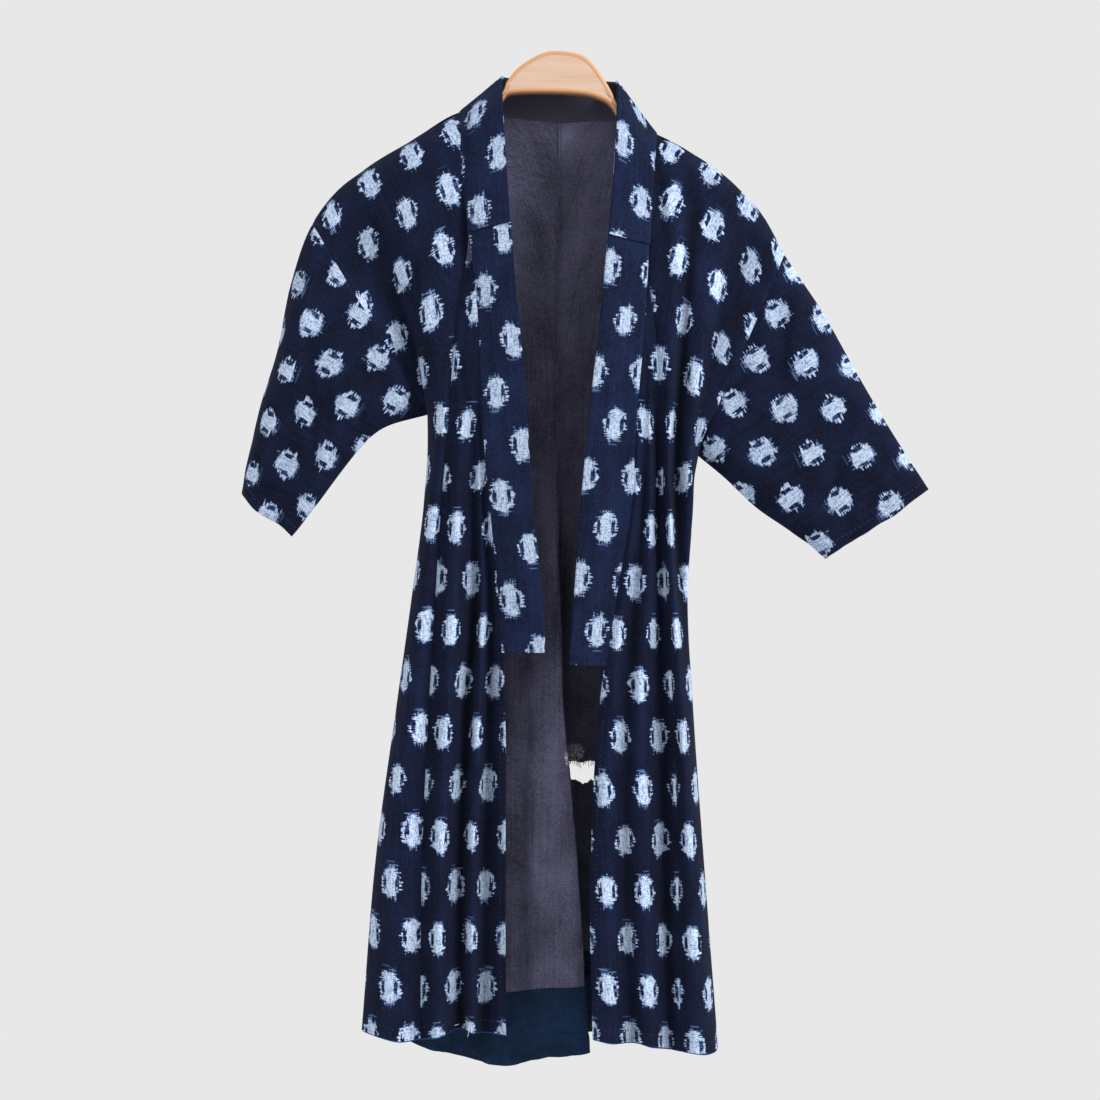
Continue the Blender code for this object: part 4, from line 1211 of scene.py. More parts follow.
@dataclass(frozen=True)
class KasuriCotton(Finish):
    """Plain-woven indigo cotton whose threads were tied and dyed before weaving.

    The white spots have edges that run along single threads, up and down and across, because
    each thread lies a little out of place, and each spot has two darker bars beside its
    middle. The real threads are about 0.4 mm apart; they are drawn about three times as
    coarse so that they show.

    Attributes:
        spot_pitch: Distance between spots in a row.
        row_pitch: Distance between rows, which are offset by half a pitch.
        spot_half: Half of a spot's width and height.
        thread: Distance between threads as drawn.
        slips: How far threads lie out of place, weft and warp.
        deep: The unfaded cloth.
        worn: Where it has faded.
        pale: Threads that took half the dye.
        white: The undyed spots.
        inside: The plain inner face.
    """

    name: str = "kasuri_cotton"
    spot_pitch: float = 50.0
    row_pitch: float = 54.5
    spot_half: tuple[float, float] = (13.0, 16.8)
    thread: float = 1.25
    slips: tuple[float, float] = (2.4, 2.8)
    deep: str = "#0a0d19"
    worn: str = "#161e3a"
    pale: str = "#446092"
    white: str = "#bfcfe3"
    inside: str = "#3d3c4b"
    surface = {"Roughness": 0.92, "Sheen Weight": 0.015, "Sheen Roughness": 0.6,
               "Specular IOR Level": 0.07}

    def steps(self) -> Steps:
        """The spots, the dyed ground, the weave and the painted shade of the folds."""
        return WEFT_AND_WARP + self.spot_steps() + self.thread_steps() + self.white_steps() + (
            # The dyed ground: mottled, streaked along the warp, speckled by single threads
            ("streak", "MULTIPLY", ("NOISE", on_cloth(0.32, 0.012, 1.0), 1.0, 2.0), 0.45),
            ("patch", "NOISE", on_cloth(0.03, 0.02, 4.0), 1.0, 3.0),
            ("mottled", "MULTIPLY_ADD", "patch", 0.75, "streak"),
            ("speckled", "MULTIPLY_ADD", "grain", 0.34, "mottled"),
            ("woven", "MULTIPLY_ADD", "weave", 0.07, "speckled"),
            ("ground", "BLEND", ("RAMP", "woven", 0.38, 1.15), self.deep, self.worn),
            # The colours laid over each other, and the plain inner face
            ("half_dyed", "BLEND", ("RAMP", "spot", 0.02, 0.5), "ground", self.pale),
            ("spotted", "BLEND", ("RAMP", "spot", 0.2, 1.02), "half_dyed", self.white),
            ("faced", "BLEND", ("Z", "cloth"), "spotted", self.inside),
            # Painted shade in the folds' valleys and along seams, painted light on their ridges
            ("colour",) + shade_folds("faced"),
            # The weave, and slight puckers between the threads
            ("pucker", "MULTIPLY", ("NOISE", on_cloth(0.07, 0.05, 9.0), 1.0, 3.0), 4.0),
            ("relief", "BUMP", ("MULTIPLY_ADD", "weave", 0.35, "pucker"), 0.7, 0.0008),
        )

    def spot_steps(self) -> Steps:
        """Which spot a point belongs to, its place in it, and each spot's own differences."""
        return (
            ("along", "DIVIDE", "warp", self.row_pitch),
            ("line", "ROUND", "along"),
            ("half", "MULTIPLY", ("FLOORED_MODULO", "line", 2.0), 0.5),
            ("shifted", "SUBTRACT", ("DIVIDE", "weft", self.spot_pitch), "half"),
            ("count", "ROUND", "shifted"),
            ("u", "MULTIPLY", ("SUBTRACT", "shifted", "count"), self.spot_pitch),
            ("v", "MULTIPLY", ("SUBTRACT", "along", "line"), self.row_pitch),
            ("size", "SPECKLE", ("POINT", "count", "line", 3.0)),
            ("tilt", "SPECKLE", ("POINT", "count", "line", 8.0)),
            ("grow", "MULTIPLY_ADD", "size", -0.2, 1.03),
            # Uneven outlines
            ("bend", "NOISE", on_cloth(0.12, 0.12, 5.0), 1.0, 1.0),
            ("rise", "NOISE", on_cloth(0.12, 0.12, 12.0), 1.0, 1.0),
            ("u_mid", "ADD", "u", ("MULTIPLY_ADD", "tilt", 3.0, -1.5)),
            ("u_bent", "ADD", "u_mid", ("MULTIPLY_ADD", "bend", 7.0, -3.5)),
            ("v_bent", "ADD", "v", ("MULTIPLY_ADD", "rise", 9.0, -4.5)),
        )

    def thread_steps(self) -> Steps:
        """Single threads: how far each lies out of place, and which lies on top."""
        slip_u, slip_v = self.slips
        return (
            ("weft_thread", "FLOOR", ("DIVIDE", "warp", self.thread)),
            ("warp_thread", "FLOOR", ("DIVIDE", "weft", self.thread)),
            ("weft_slip", "SPECKLE", ("POINT", "weft_thread", "count", "line")),
            ("warp_slip", "SPECKLE", ("POINT", "warp_thread", "line", "count")),
            ("grain", "SPECKLE", ("POINT", "warp_thread", "weft_thread", 5.0)),
            ("u_weft", "ADD", "u_bent", ("MULTIPLY_ADD", "weft_slip", 2 * slip_u, -slip_u)),
            ("v_warp", "ADD", "v_bent", ("MULTIPLY_ADD", "warp_slip", 2 * slip_v, -slip_v)),
            ("wave_u", "SINE", ("MULTIPLY", "weft", math.pi / self.thread)),
            ("wave_v", "SINE", ("MULTIPLY", "warp", math.pi / self.thread)),
            ("weave", "MULTIPLY", "wave_u", "wave_v"),
        )

    def white_steps(self) -> Steps:
        """How white each point of a spot is."""
        half_u, half_v = self.spot_half
        return (
            # The part of each thread that stayed white
            ("u_reach", "MULTIPLY", "grow", half_u),
            ("v_reach", "MULTIPLY", "grow", half_v),
            ("u_away", "ABSOLUTE", "u_weft"),
            ("v_away", "ABSOLUTE", "v_warp"),
            ("v_share", "DIVIDE", "v_away", "v_reach"),
            ("u_out", "POWER", ("DIVIDE", "u_away", "u_reach"), 2.2),
            ("v_out", "POWER", ("DIVIDE", ("ABSOLUTE", "v_bent"), "v_reach"), 1.7),
            ("white_weft", "RAMP", ("ADD", "u_out", "v_out"), 1.2, 0.8),
            ("round_warp", "RAMP", ("ADD", "u_out", ("POWER", "v_share", 1.7)), 1.2, 0.8),
            # A column in the middle of each spot reaches further up and down
            ("column", "MULTIPLY", ("RAMP", "u_away", 7.4, 5.2), ("RAMP", "v_share", 1.2, 1.02)),
            ("white_warp", "MAXIMUM", "round_warp", "column"),
            # Above it, single weft threads are half white
            ("at_top", "MULTIPLY", ("RAMP", "v", 14.0, 18.0), ("RAMP", "v", 26.0, 21.0)),
            ("dash_chance", "SPECKLE", ("POINT", "line", "weft_thread", "count")),
            ("dash_u", "SUBTRACT", ("MULTIPLY_ADD", "dash_chance", 12.0, "u_bent"), 6.0),
            ("dash", "MULTIPLY", "at_top", ("RAMP", ("ABSOLUTE", "dash_u"), 7.0, 3.0)),
            ("dashes", "MULTIPLY", "dash", ("RAMP", "weft_slip", 0.5, 0.9)),
            # Weft or warp, whichever lies on top
            ("on_top", "MULTIPLY_ADD", "weave", 0.4, 0.5),
            ("gap", "SUBTRACT", "white_weft", "white_warp"),
            ("mixed", "MULTIPLY_ADD", "gap", "on_top", "white_warp"),
            # Two bars inside each spot where dye crept in
            ("bar_at", "SUBTRACT", ("ABSOLUTE", "u_mid"), half_u * 0.6),
            ("bar_bent", "SUBTRACT", ("MULTIPLY_ADD", "bend", 3.0, "bar_at"), 1.5),
            ("bar_u", "RAMP", ("ABSOLUTE", "bar_bent"), 2.7, 1.5),
            ("bars", "MULTIPLY", "bar_u", ("RAMP", "v_away", 8.4, 5.4)),
            ("bar_depth", "MULTIPLY_ADD", "weft_slip", -0.45, -0.62),
            ("kept", "MULTIPLY", "mixed", ("MULTIPLY_ADD", "bars", "bar_depth", 1.0)),
            # Single threads took more or less dye
            ("weft_lines", "NOISE", on_cloth(0.22, 0.75, 7.0), 1.0, 1.0),
            ("warp_lines", "NOISE", on_cloth(0.55, 0.09, 15.0), 1.0, 1.0),
            ("weft_tone", "MULTIPLY_ADD", ("RAMP", "weft_lines", 0.22, 0.56), 0.42, 0.58),
            ("warp_tone", "MULTIPLY_ADD", ("RAMP", "warp_lines", 0.3, 0.6), 0.32, 0.74),
            ("lined", "MULTIPLY", ("MULTIPLY", "kept", "warp_tone"), "weft_tone"),
            ("toned", "MULTIPLY", "lined", ("MULTIPLY_ADD", "grain", 0.42, 0.66)),
            ("body", "MULTIPLY", "toned", ("MULTIPLY_ADD", "size", 0.12, 0.9)),
            ("spot", "MAXIMUM", "body", ("MULTIPLY", "dashes", 0.34)),
        )


@dataclass(frozen=True)
class ThinCotton(Finish):
    """Thin plain-woven lining cotton, piece-dyed and washed until it is soft and uneven.

    Attributes:
        deep: Where the dye held.
        faded: Where it has washed out.
        streaks: How much of the fading follows single warp threads.
        crinkles: Height of the crinkles.
        bare: Where the cloth is rubbed thin beside the worn hole.
        worn_at: Middle of the rubbed place, x and z, and its reach, in metres.
    """

    deep: str
    faded: str
    streaks: float = 0.3
    crinkles: float = 7.0
    bare: str = "#d6d2d8"
    worn_at: tuple[float, float, float] = (0.027, -0.721, 0.0145)
    surface = {"Roughness": 0.88, "Specular IOR Level": 0.2}

    def steps(self) -> Steps:
        """The fading, the rubbed place and the crinkles, mostly across the cloth, and painted
        shade in the folds.
        """
        x, z, reach = self.worn_at
        return WEFT_AND_WARP + (
            ("thread_u", "FLOOR", ("MULTIPLY", "weft", 1.1)),
            ("thread_v", "FLOOR", ("MULTIPLY", "warp", 1.1)),
            ("grain", "SPECKLE", ("POINT", "thread_u", "thread_v", 5.0)),
            ("streak", "NOISE", on_cloth(0.5, 0.008, 2.0), 1.0, 2.0),
            ("patch", "NOISE", on_cloth(0.022, 0.014, 6.0), 1.0, 4.0),
            ("mottled", "MULTIPLY_ADD", "patch", 0.8, ("MULTIPLY", "streak", self.streaks)),
            ("fade", "RAMP", ("MULTIPLY_ADD", "grain", 0.26, "mottled"), 0.35, 1.05),
            ("dyed", "BLEND", "fade", self.deep, self.faded),
            # Rubbed bare, thread by thread
            ("from_x", "MULTIPLY", ("SUBTRACT", ("X", ("OBJECT",)), x), 0.9),
            ("from_z", "SUBTRACT", ("Z", ("OBJECT",)), z),
            ("square", "MULTIPLY_ADD", "from_z", "from_z", ("MULTIPLY", "from_x", "from_x")),
            ("close", "RAMP", ("SQRT", "square"), reach, reach * 0.35),
            ("loss", "RAMP", ("MULTIPLY", "grain", "close"), 0.12, 0.75),
            ("rubbed", "BLEND", "loss", "dyed", self.bare),
            # Painted shade in the folds' valleys and along seams, painted light on their ridges
            ("colour",) + shade_folds("rubbed"),
            ("crinkle", "NOISE", on_cloth(0.05, 0.11, 3.0), 1.0, 4.0),
            ("height", "MULTIPLY_ADD", "crinkle", self.crinkles, "grain"),
            ("relief", "BUMP", "height", 0.6, 0.0006),
        )


@dataclass(frozen=True)
class LacqueredMaple(Finish):
    """Sawn maple, sanded and lacquered: a pale satin face with a warmer rounded rim.

    Attributes:
        face: The flat face.
        vein: The grain lines on it.
        rim: The rounded rim, where the lacquer is thicker.
        under: Painted shade on the side wall round the outline, mostly on its back half.
    """

    name: str = "lacquered_maple"
    face: str = "#cfb09a"
    vein: str = "#c6a289"
    rim: str = "#cb9567"
    under: str = "#7d5536"
    surface = {"Roughness": 0.42, "Coat Weight": 0.35, "Coat Roughness": 0.25}

    def steps(self) -> Steps:
        """Long grain lines, a warm rim and painted shade on the side wall."""
        return (
            ("grain_at", "STRETCH", ("OBJECT",), (7.0, 60.0, 150.0)),
            ("grain", "NOISE", "grain_at", 1.0, 5.0, 0.6),
            ("veined", "BLEND", ("RANGE", "grain", 0.42, 0.68), self.face, self.vein),
            ("rimmed", "BLEND", ("RANGE", ("RIM",), 0.0, 0.5), "veined", self.rim),
            # Painted shade on the side wall, where the rim value passes 0.6
            ("colour", "BLEND", ("RANGE", ("RIM",), 0.6, 1.0), "rimmed", self.under),
            ("relief", "BUMP", "grain", 0.15, 0.0003),
        )


@dataclass(frozen=True)
class SewingThread(Finish):
    """Spun cotton sewing thread, matt, with the light and dark of its twist.

    Attributes:
        light: The lit side of each twist.
        dark: Between the twists.
    """

    light: str
    dark: str
    surface = {"Roughness": 0.8}

    def steps(self) -> Steps:
        """The twist."""
        return (("colour", "BLEND", ("NOISE", ("OBJECT",), 2200.0), self.dark, self.light),)


@dataclass(frozen=True)
class FloorPaint(Finish):
    """Flat, matt, pale grey paint."""

    name: str = "pale_floor"
    surface = {"Base Color": linear("#d9d9d9"), "Roughness": 0.9}


@dataclass(frozen=True)
class Finishes:
    """Every material of the garment and its hanger, made once."""

    kasuri: Material
    collar_kasuri: Material
    lining: Material
    hem_lining: Material
    piping: Material
    maple: Material
    white_thread: Material
    dark_thread: Material
    frayed_thread: Material

    @classmethod
    def build(cls) -> "Finishes":
        """Make the materials."""
        return cls(
            KasuriCotton().build(),
            KasuriCotton(name="kasuri_collar_cotton", deep="#0e1322", worn="#1c2749").build(),
            ThinCotton("faded_lining_cotton", "#323242", "#686783").build(),
            ThinCotton("teal_hem_cotton", "#08182e", "#143152", 0.2, 22.0).build(),
            ThinCotton("bright_hem_cotton", "#16407a", "#2a62ab", 0.2).build(),
            LacqueredMaple().build(),
            SewingThread("white_thread", "#eceef2", "#b9bdc8").build(),
            SewingThread("dark_thread", "#3a4464", "#12172a").build(),
            SewingThread("frayed_thread", "#6b625f", "#241f22").build(),
        )


# The needlework


def thread_mesh(name: str, lines: Sequence[Point], radius: float) -> Mesh:
    """Round threads with closed, tapered ends.

    Args:
        name: The mesh's name.
        lines: Centre lines, each of 3 points or more.
        radius: Half of the thickness.

    Returns:
        One mesh of all threads.
    """
    shape = bmesh.new()
    turns = np.arange(THREAD_SIDES) * 2 * math.pi / THREAD_SIDES
    for line in lines:
        along = unit(np.gradient(line, axis=0))
        aside = unit(np.cross(along, (0.31, 0.9, 0.29)))
        other = np.cross(along, aside)
        taper = np.full(len(line), radius * MM)
        taper[[0, -1]] *= 0.5
        rings = [[shape.verts.new(at + (one * math.cos(t) + two * math.sin(t)) * size)
                  for t in turns]
                 for at, one, two, size in zip(line, aside, other, taper)]
        join_rings(shape, rings)
        shape.faces.new(rings[0][::-1])
        shape.faces.new(rings[-1])
    return finished_mesh(name, shape)


@dataclass(frozen=True)
class RunningStitch:
    """Hand stitches that follow lines on the cloth, spread by a node tree.

    The real thread is about 0.3 mm thick and is drawn twice as thick so that it shows.

    Attributes:
        pitch: Distance from one stitch to the next.
        length: Length of a stitch.
        radius: Half of its thickness.
        seed: Seed of their uneven lengths.
    """

    pitch: float = 5.2
    length: float = 2.6
    radius: float = 0.32
    seed: int = 5

    def node_tree(self) -> NodeTree:
        """Make the tree that lays one stitch at each step along a line.

        Returns:
            The tree, with the inputs Line, Pitch, Length, Radius, Seed and Thread.
        """
        tree = bpy.data.node_groups.new("running_stitch", "GeometryNodeTree")
        for name, kind in (("Line", "Geometry"), ("Pitch", "Float"), ("Length", "Float"),
                           ("Radius", "Float"), ("Seed", "Int"), ("Thread", "Material")):
            tree.interface.new_socket(name, in_out="INPUT", socket_type="NodeSocket" + kind)
        tree.interface.new_socket("Stitches", in_out="OUTPUT",
                                  socket_type="NodeSocketGeometry")
        given = add_node(tree, "NodeGroupInput").outputs
        curve = add_node(tree, "GeometryNodeMeshToCurve", {0: given["Line"]})
        steps = add_node(tree, "GeometryNodeCurveToPoints",
                         {"Curve": curve.outputs[0], "Length": given["Pitch"]}, mode="LENGTH")
        ball = add_node(tree, "GeometryNodeMeshUVSphere",
                        {"Segments": 6, "Rings": 5, "Radius": 1.0})
        uneven = add_node(tree, "FunctionNodeRandomValue",
                          {"Min": 0.35, "Max": 0.6, "Seed": given["Seed"]})
        half = add_node(tree, "ShaderNodeMath", {0: given["Length"], 1: uneven.outputs[1]},
                        operation="MULTIPLY")
        size = add_node(tree, "ShaderNodeCombineXYZ",
                        {0: given["Radius"], 1: given["Radius"], 2: half.outputs[0]})
        laid = add_node(tree, "GeometryNodeInstanceOnPoints",
                        {"Points": steps.outputs["Points"], "Instance": ball.outputs[0],
                         "Rotation": steps.outputs["Rotation"], "Scale": size.outputs[0]})
        real = add_node(tree, "GeometryNodeRealizeInstances", {0: laid.outputs[0]})
        final = add_node(tree, "GeometryNodeSetMaterial",
                         {"Geometry": real.outputs[0], "Material": given["Thread"]})
        add_node(tree, "NodeGroupOutput", {0: final.outputs[0]})
        return tree

    def sewn(self, tree: NodeTree, name: str, lines: Sequence[Point],
             thread: Material) -> Mesh:
        """Sew along lines.

        Args:
            tree: The stitch tree.
            name: The piece's name.
            lines: Points of each line.
            thread: The thread's material.

        Returns:
            All stitches as one plain mesh.
        """
        starts = np.cumsum([0] + [len(line) for line in lines])
        edges = [(k, k + 1) for a, b in zip(starts, starts[1:]) for k in range(a, b - 1)]
        guide = bpy.data.meshes.new(name + "_line")
        guide.from_pydata(np.concatenate(lines).tolist(), edges, [])
        holder = add_object(name + "_line", guide)
        modifier = holder.modifiers.new("stitches", "NODES")
        modifier.node_group = tree
        values = {"Pitch": self.pitch * MM, "Length": self.length * MM,
                  "Radius": self.radius * MM, "Seed": self.seed, "Thread": thread}
        for item in tree.interface.items_tree:
            if item.in_out == "INPUT" and item.name in values:
                modifier[item.identifier] = values[item.name]
        ready = holder.evaluated_get(bpy.context.evaluated_depsgraph_get())
        mesh = bpy.data.meshes.new_from_object(ready)
        holder.modifiers.clear()
        bpy.data.objects.remove(holder)
        mesh.shade_smooth()
        return mesh


@dataclass
class Needlework:
    """Stitches, basting marks, thread ends and the blue edge of the hem's lining.

    Attributes:
        finishes: The materials.
        patches: The cloth as it hangs, by name.
        stitch: The sewing of hems, cuffs and the ends of the bands.
        hem_depth: Distance from the hem's edge to its stitches.
        cuff_depth: The same at the cuffs.
        end_depth: The same at the ends of the collar bands.
        edge_depth: The same along the overlap panels' free edges.
        basting: Left-over basting stitches: patch, x, drop and length.
        loose: Thread ends: sheet, patch, x and drop of their root, step to their tip.
        frays: How many threads hang into the worn hole, and their greatest length.
        frayed_rim: x of the hole's upper rim at both ends, and its drop.
        lip: How far the hem's lining shows below the front hem.
        trims: The pieces made, by the sheet that they lie on.
    """

    finishes: Finishes
    patches: dict[str, Patch]
    stitch: RunningStitch = RunningStitch()
    hem_depth: float = 12.0
    cuff_depth: float = 10.0
    end_depth: float = 3.0
    edge_depth: float = 7.0
    basting: tuple[tuple[str, float, float, float], ...] = (
        ("front_right", -119, 1002, 8), ("front_right", -152, 1004, 8),
        ("front_right", -188, 1005, 3), ("overlap_right", -95, 1001, 5))
    loose: tuple[tuple[str, str, float, float, float, float], ...] = (
        ("body_right", "front_right", -134, 190, 24, -14),
        ("body_left", "front_left", 76, 1000, 24, 3),
        ("overlap_right", "overlap_right", -81, 996, -3, 20))
    frays: tuple[int, float] = (30, 11.0)
    frayed_rim: tuple[float, float, float] = (20.0, 56.0, 729.0)
    lip: float = 1.6
    trims: dict[str, list[Object]] = field(default_factory=lambda: defaultdict(list))

    def add(self, sheet: str, name: str, mesh: Mesh, finish: Material,
            slot: str = "indigo_cotton") -> None:
        """Show a small piece and note the sheet that it lies on."""
        self.trims[sheet].append(show(name, mesh, finish))

    def line_at(self, name: str, distance: float, axis: int = 0, from_end: bool = False,
                rows: slice = slice(None)) -> Point:
        """A line on the outer face at one distance from an edge.

        Args:
            name: The patch.
            distance: Distance from the edge.
            axis: 0 for the edge at the first row, 1 for that at the first column.
            from_end: Measure from the opposite edge.
            rows: Which points along the edge are followed.

        Returns:
            The line's points.
        """
        patch = self.patches[name]
        height = (patch.lift + patch.half_wall + 0.1)[..., None] * MM
        outer = patch.points + grid_normals(patch.points, patch.outward) * height
        if axis == 1:
            outer = outer.swapaxes(0, 1)
        if from_end:
            outer = outer[::-1]
        outer = outer[:, rows]
        run = running(outer, 0)
        return np.array([[np.interp(distance, run[:, c], outer[:, c, k]) for k in range(3)]
                         for c in range(outer.shape[1])])

    def spot_on(self, name: str, x: float, drop: float, height: float,
                is_deep: bool = False) -> Point:
        """The cloth's point behind a place in the front view.

        Args:
            name: The patch.
            x: Place across.
            drop: Place down.
            height: How far out of the outer face the point lies.
            is_deep: Only look where the cloth is torn, far back.

        Returns:
            The point.
        """
        patch = self.patches[name]
        away = np.hypot(patch.points[..., 0] - x * MM, patch.points[..., 2] + drop * MM)
        if is_deep:
            away = away + (patch.points[..., 1] < (TEAR_DEPTH[0] - HANGER_THICK / 2) * MM)
        near = np.argmin(away + 0.3 * patch.points[..., 1])
        row, column = np.unravel_index(near, away.shape)
        normal = grid_normals(patch.points, patch.outward)[row, column]
        rise = patch.lift + patch.half_wall[row, column] + height
        return patch.points[row, column] + normal * rise * MM

    def build(self) -> dict[str, list[Object]]:
        """Make all small pieces.

        Returns:
            Lists of pieces by the name of the sheet that they lie on.
        """
        tree = self.stitch.node_tree()
        thread = self.finishes.dark_thread
        for side in Side:
            name = side.value
            edge = self.patches["overlap_" + name].points[:, 0, 2]
            low = int(np.argmax(edge > -COLLAR_END_DROP[name] * MM))
            for sheet, piece, lines in (
                    ("body", "hem", [self.line_at(f"{panel}_{name}", self.hem_depth)
                                     for panel in ("front", "back")]),
                    ("overlap", "overlap",
                     [self.line_at("overlap_" + name, self.hem_depth),
                      self.line_at("overlap_" + name, self.edge_depth, 1, rows=slice(2, low))]),
                    ("sleeve", "cuff",
                     [self.line_at("sleeve_" + name, self.cuff_depth, from_end=True)])):
                title = f"{piece}_stitches_{name}"
                mesh = self.stitch.sewn(tree, title, lines, thread)
                self.add(f"{sheet}_{name}", title, mesh, thread)
            self.hem_lip("body", "front", name)
            self.hem_lip("overlap", "overlap", name)
        for band in ("collar", "over_collar"):
            ends = [self.line_at(f"{band}_{side.value}", self.end_depth) for side in Side]
            title = band + "_stitches"
            mesh = self.stitch.sewn(tree, title, ends, thread)
            self.add(band, title, mesh, thread, "indigo_collar")
        self.baste()
        self.leave_ends()
        self.fray()
        return self.trims

    def baste(self) -> None:
        """White basting stitches that were never pulled out of the hem."""
        lines = []
        for patch, x, drop, length in self.basting:
            start = self.spot_on(patch, x, drop, 0.25)
            end = self.spot_on(patch, x + length, drop + 1, 0.25)
            bow = np.array((0.0, -0.4, 0.0)) * MM
            lines.append(np.array([start, start * 0.5 + end * 0.5 + bow, end]))
        self.add("overlap_right", "basting_marks", thread_mesh("basting", lines, 0.45),
                 self.finishes.white_thread)

    def leave_ends(self) -> None:
        """Ends of broken sewing thread that stand off the cloth."""
        share = np.linspace(0, 1, 12)
        for sheet, patch, x, drop, across, down in self.loose:
            curl = smooth_noise(np.stack((share * 3, share * 0 + x, share * 0), 1), 1.0, 17)
            line = self.spot_on(patch, x, drop, -0.2) + np.stack((
                across * share + curl * 1.5, -2.4 * np.sin(share * math.pi * 0.8),
                -down * share + curl * 2.0), axis=1) * MM
            name = "thread_end_" + patch
            self.add(sheet, name, thread_mesh(name, [line], 0.3), self.finishes.white_thread)

    def fray(self) -> None:
        """Warp threads that hang loose from the upper rim of the worn hole."""
        count, longest = self.frays
        first, last, drop = self.frayed_rim
        share = np.linspace(0, 1, 7)
        lines = []
        for k in range(count):
            x = first + (last - first) * (k + 0.5) / count
            chance = float(smooth_noise(np.array([k * 1.7, 3.0, 5.0]), 1.0, 29))
            length = longest * (0.55 + 0.45 * chance)
            hanging = np.stack((chance * 2.2 * share ** 2, -0.8 * share, -length * share), 1)
            lines.append(self.spot_on("back_left", x, drop, -1.6, True) + hanging * MM)
        self.add("body_left", "frayed_threads", thread_mesh("frayed", lines, 0.32),
                 self.finishes.frayed_thread)

    def hem_lip(self, sheet: str, panel: str, side: str) -> None:
        """The edge of the hem's blue lining, which rolls out a little below the outer cloth.

        Args:
            sheet: The sheet's name without its side.
            panel: The patch's name without its side.
            side: The half that both belong to.
        """
        patch = self.patches[f"{panel}_{side}"]
        edge = patch.points[0]
        drops = np.array((self.lip, self.lip * 0.7, 0.0, -1.5, -4.0, -7.0))
        points = edge + unit(edge - patch.points[6]) * drops[:, None, None] * MM
        half = np.full(points.shape[:2], 0.35)
        half[0] = 0.12
        ribbon = Patch(points, on_grid(patch.cloth[:1, :, 0], drops[:, None]), patch.outward,
                       half, -1.5)
        name = f"hem_lip_{panel}_{side}"
        self.add(f"{sheet}_{side}", name, shell_mesh(name, [ribbon]), self.finishes.piping)


# The sheets of cloth


def close_to_ends(first: float, last: float, cells: int, close: Sequence[float]) -> list[float]:
    """Even steps from first to last, with extra values at the given distances from each end."""
    inner = [v for v in spread(first, last, cells)[1:-1]
             if v - first > close[-1] and last - v > close[-1]]
    near = [first + d for d in close] + [last - d for d in close]
    return sorted([first, last] + near + inner)


@dataclass(frozen=True)
class Cut:
    """The flat cut of a sheet that shows, in metres, how it is held and what holds it."""

    width: float
    length: float
    area: float
    held: str = "hung"
    rests_on: tuple[str, ...] = ("hanger",)

    def declare(self, piece: Object, trims: Sequence[Object]) -> None:
        """Does nothing: the piece's flat size and the trims that lie on it are not stated."""


CUTS = {
    "body_right": Cut(0.20, 2.02, 0.300), "body_left": Cut(0.20, 2.02, 0.300),
    "overlap_right": Cut(0.11, 0.83, 0.0715), "overlap_left": Cut(0.11, 0.83, 0.0618),
    "sleeve_right": Cut(0.27, 0.42, 0.0735), "sleeve_left": Cut(0.27, 0.44, 0.0832),
    "lining_right": Cut(0.18, 0.97, 0.159, rests_on=("body_right_cloth",)),
    "lining_left": Cut(0.18, 0.96, 0.151, rests_on=("body_left_cloth",)),
    "hem_band_right": Cut(0.25, 0.07, 0.0170, rests_on=("body_right_cloth",)),
    "hem_band_left": Cut(0.23, 0.08, 0.0180, rests_on=("body_left_cloth",)),
    "collar": Cut(0.045, 1.50, 0.066, "folded", ("body_right_cloth", "body_left_cloth")),
    "over_collar": Cut(0.045, 0.62, 0.025, "folded", ("collar_cloth",)),
}


@dataclass(frozen=True)
class SleeveHang:
    """How a sleeve's threads lie against the fold along its top.

    Attributes:
        turn: Angle from the fold to the weft, in degrees.
        squeeze: Width of the hanging cloth, as a share of its flat width.
        weft_share: Flat weft for each millimetre of it as it hangs.
        warp_share: The same for the warp.
        crumple: Height of the creases near the cuff.
    """

    turn: float
    squeeze: float
    weft_share: float
    warp_share: float
    crumple: float

    def cloth(self, run: Point, down: Point) -> Point:
        """Weft and warp coordinates on the flat cloth.

        Args:
            run: Distance along the top fold, in millimetres.
            down: Distance from it, down the front or the back.

        Returns:
            The two coordinates, stacked last.
        """
        turn = math.radians(self.turn)
        wide = down / self.squeeze
        weft = run * math.cos(turn) - wide * math.sin(turn)
        warp = run * math.sin(turn) + wide * math.cos(turn)
        return on_grid(weft * self.weft_share, warp * self.warp_share)


SLEEVE_HANGS = {Side.RIGHT: SleeveHang(10.0, 0.68, 0.86, 1.03, 4.6),
                Side.LEFT: SleeveHang(0.0, 1.0, 0.86, 1.24, 2.2)}


@dataclass(frozen=True)
class Band:
    """One of the two collar bands.

    Attributes:
        name: The piece's name.
        ends: Knot of its lower end on each side.
        wall: Its thickness.
        lift: How far out of the collar's surface it lies.
    """

    name: str
    ends: dict[str, float]
    wall: float
    lift: float


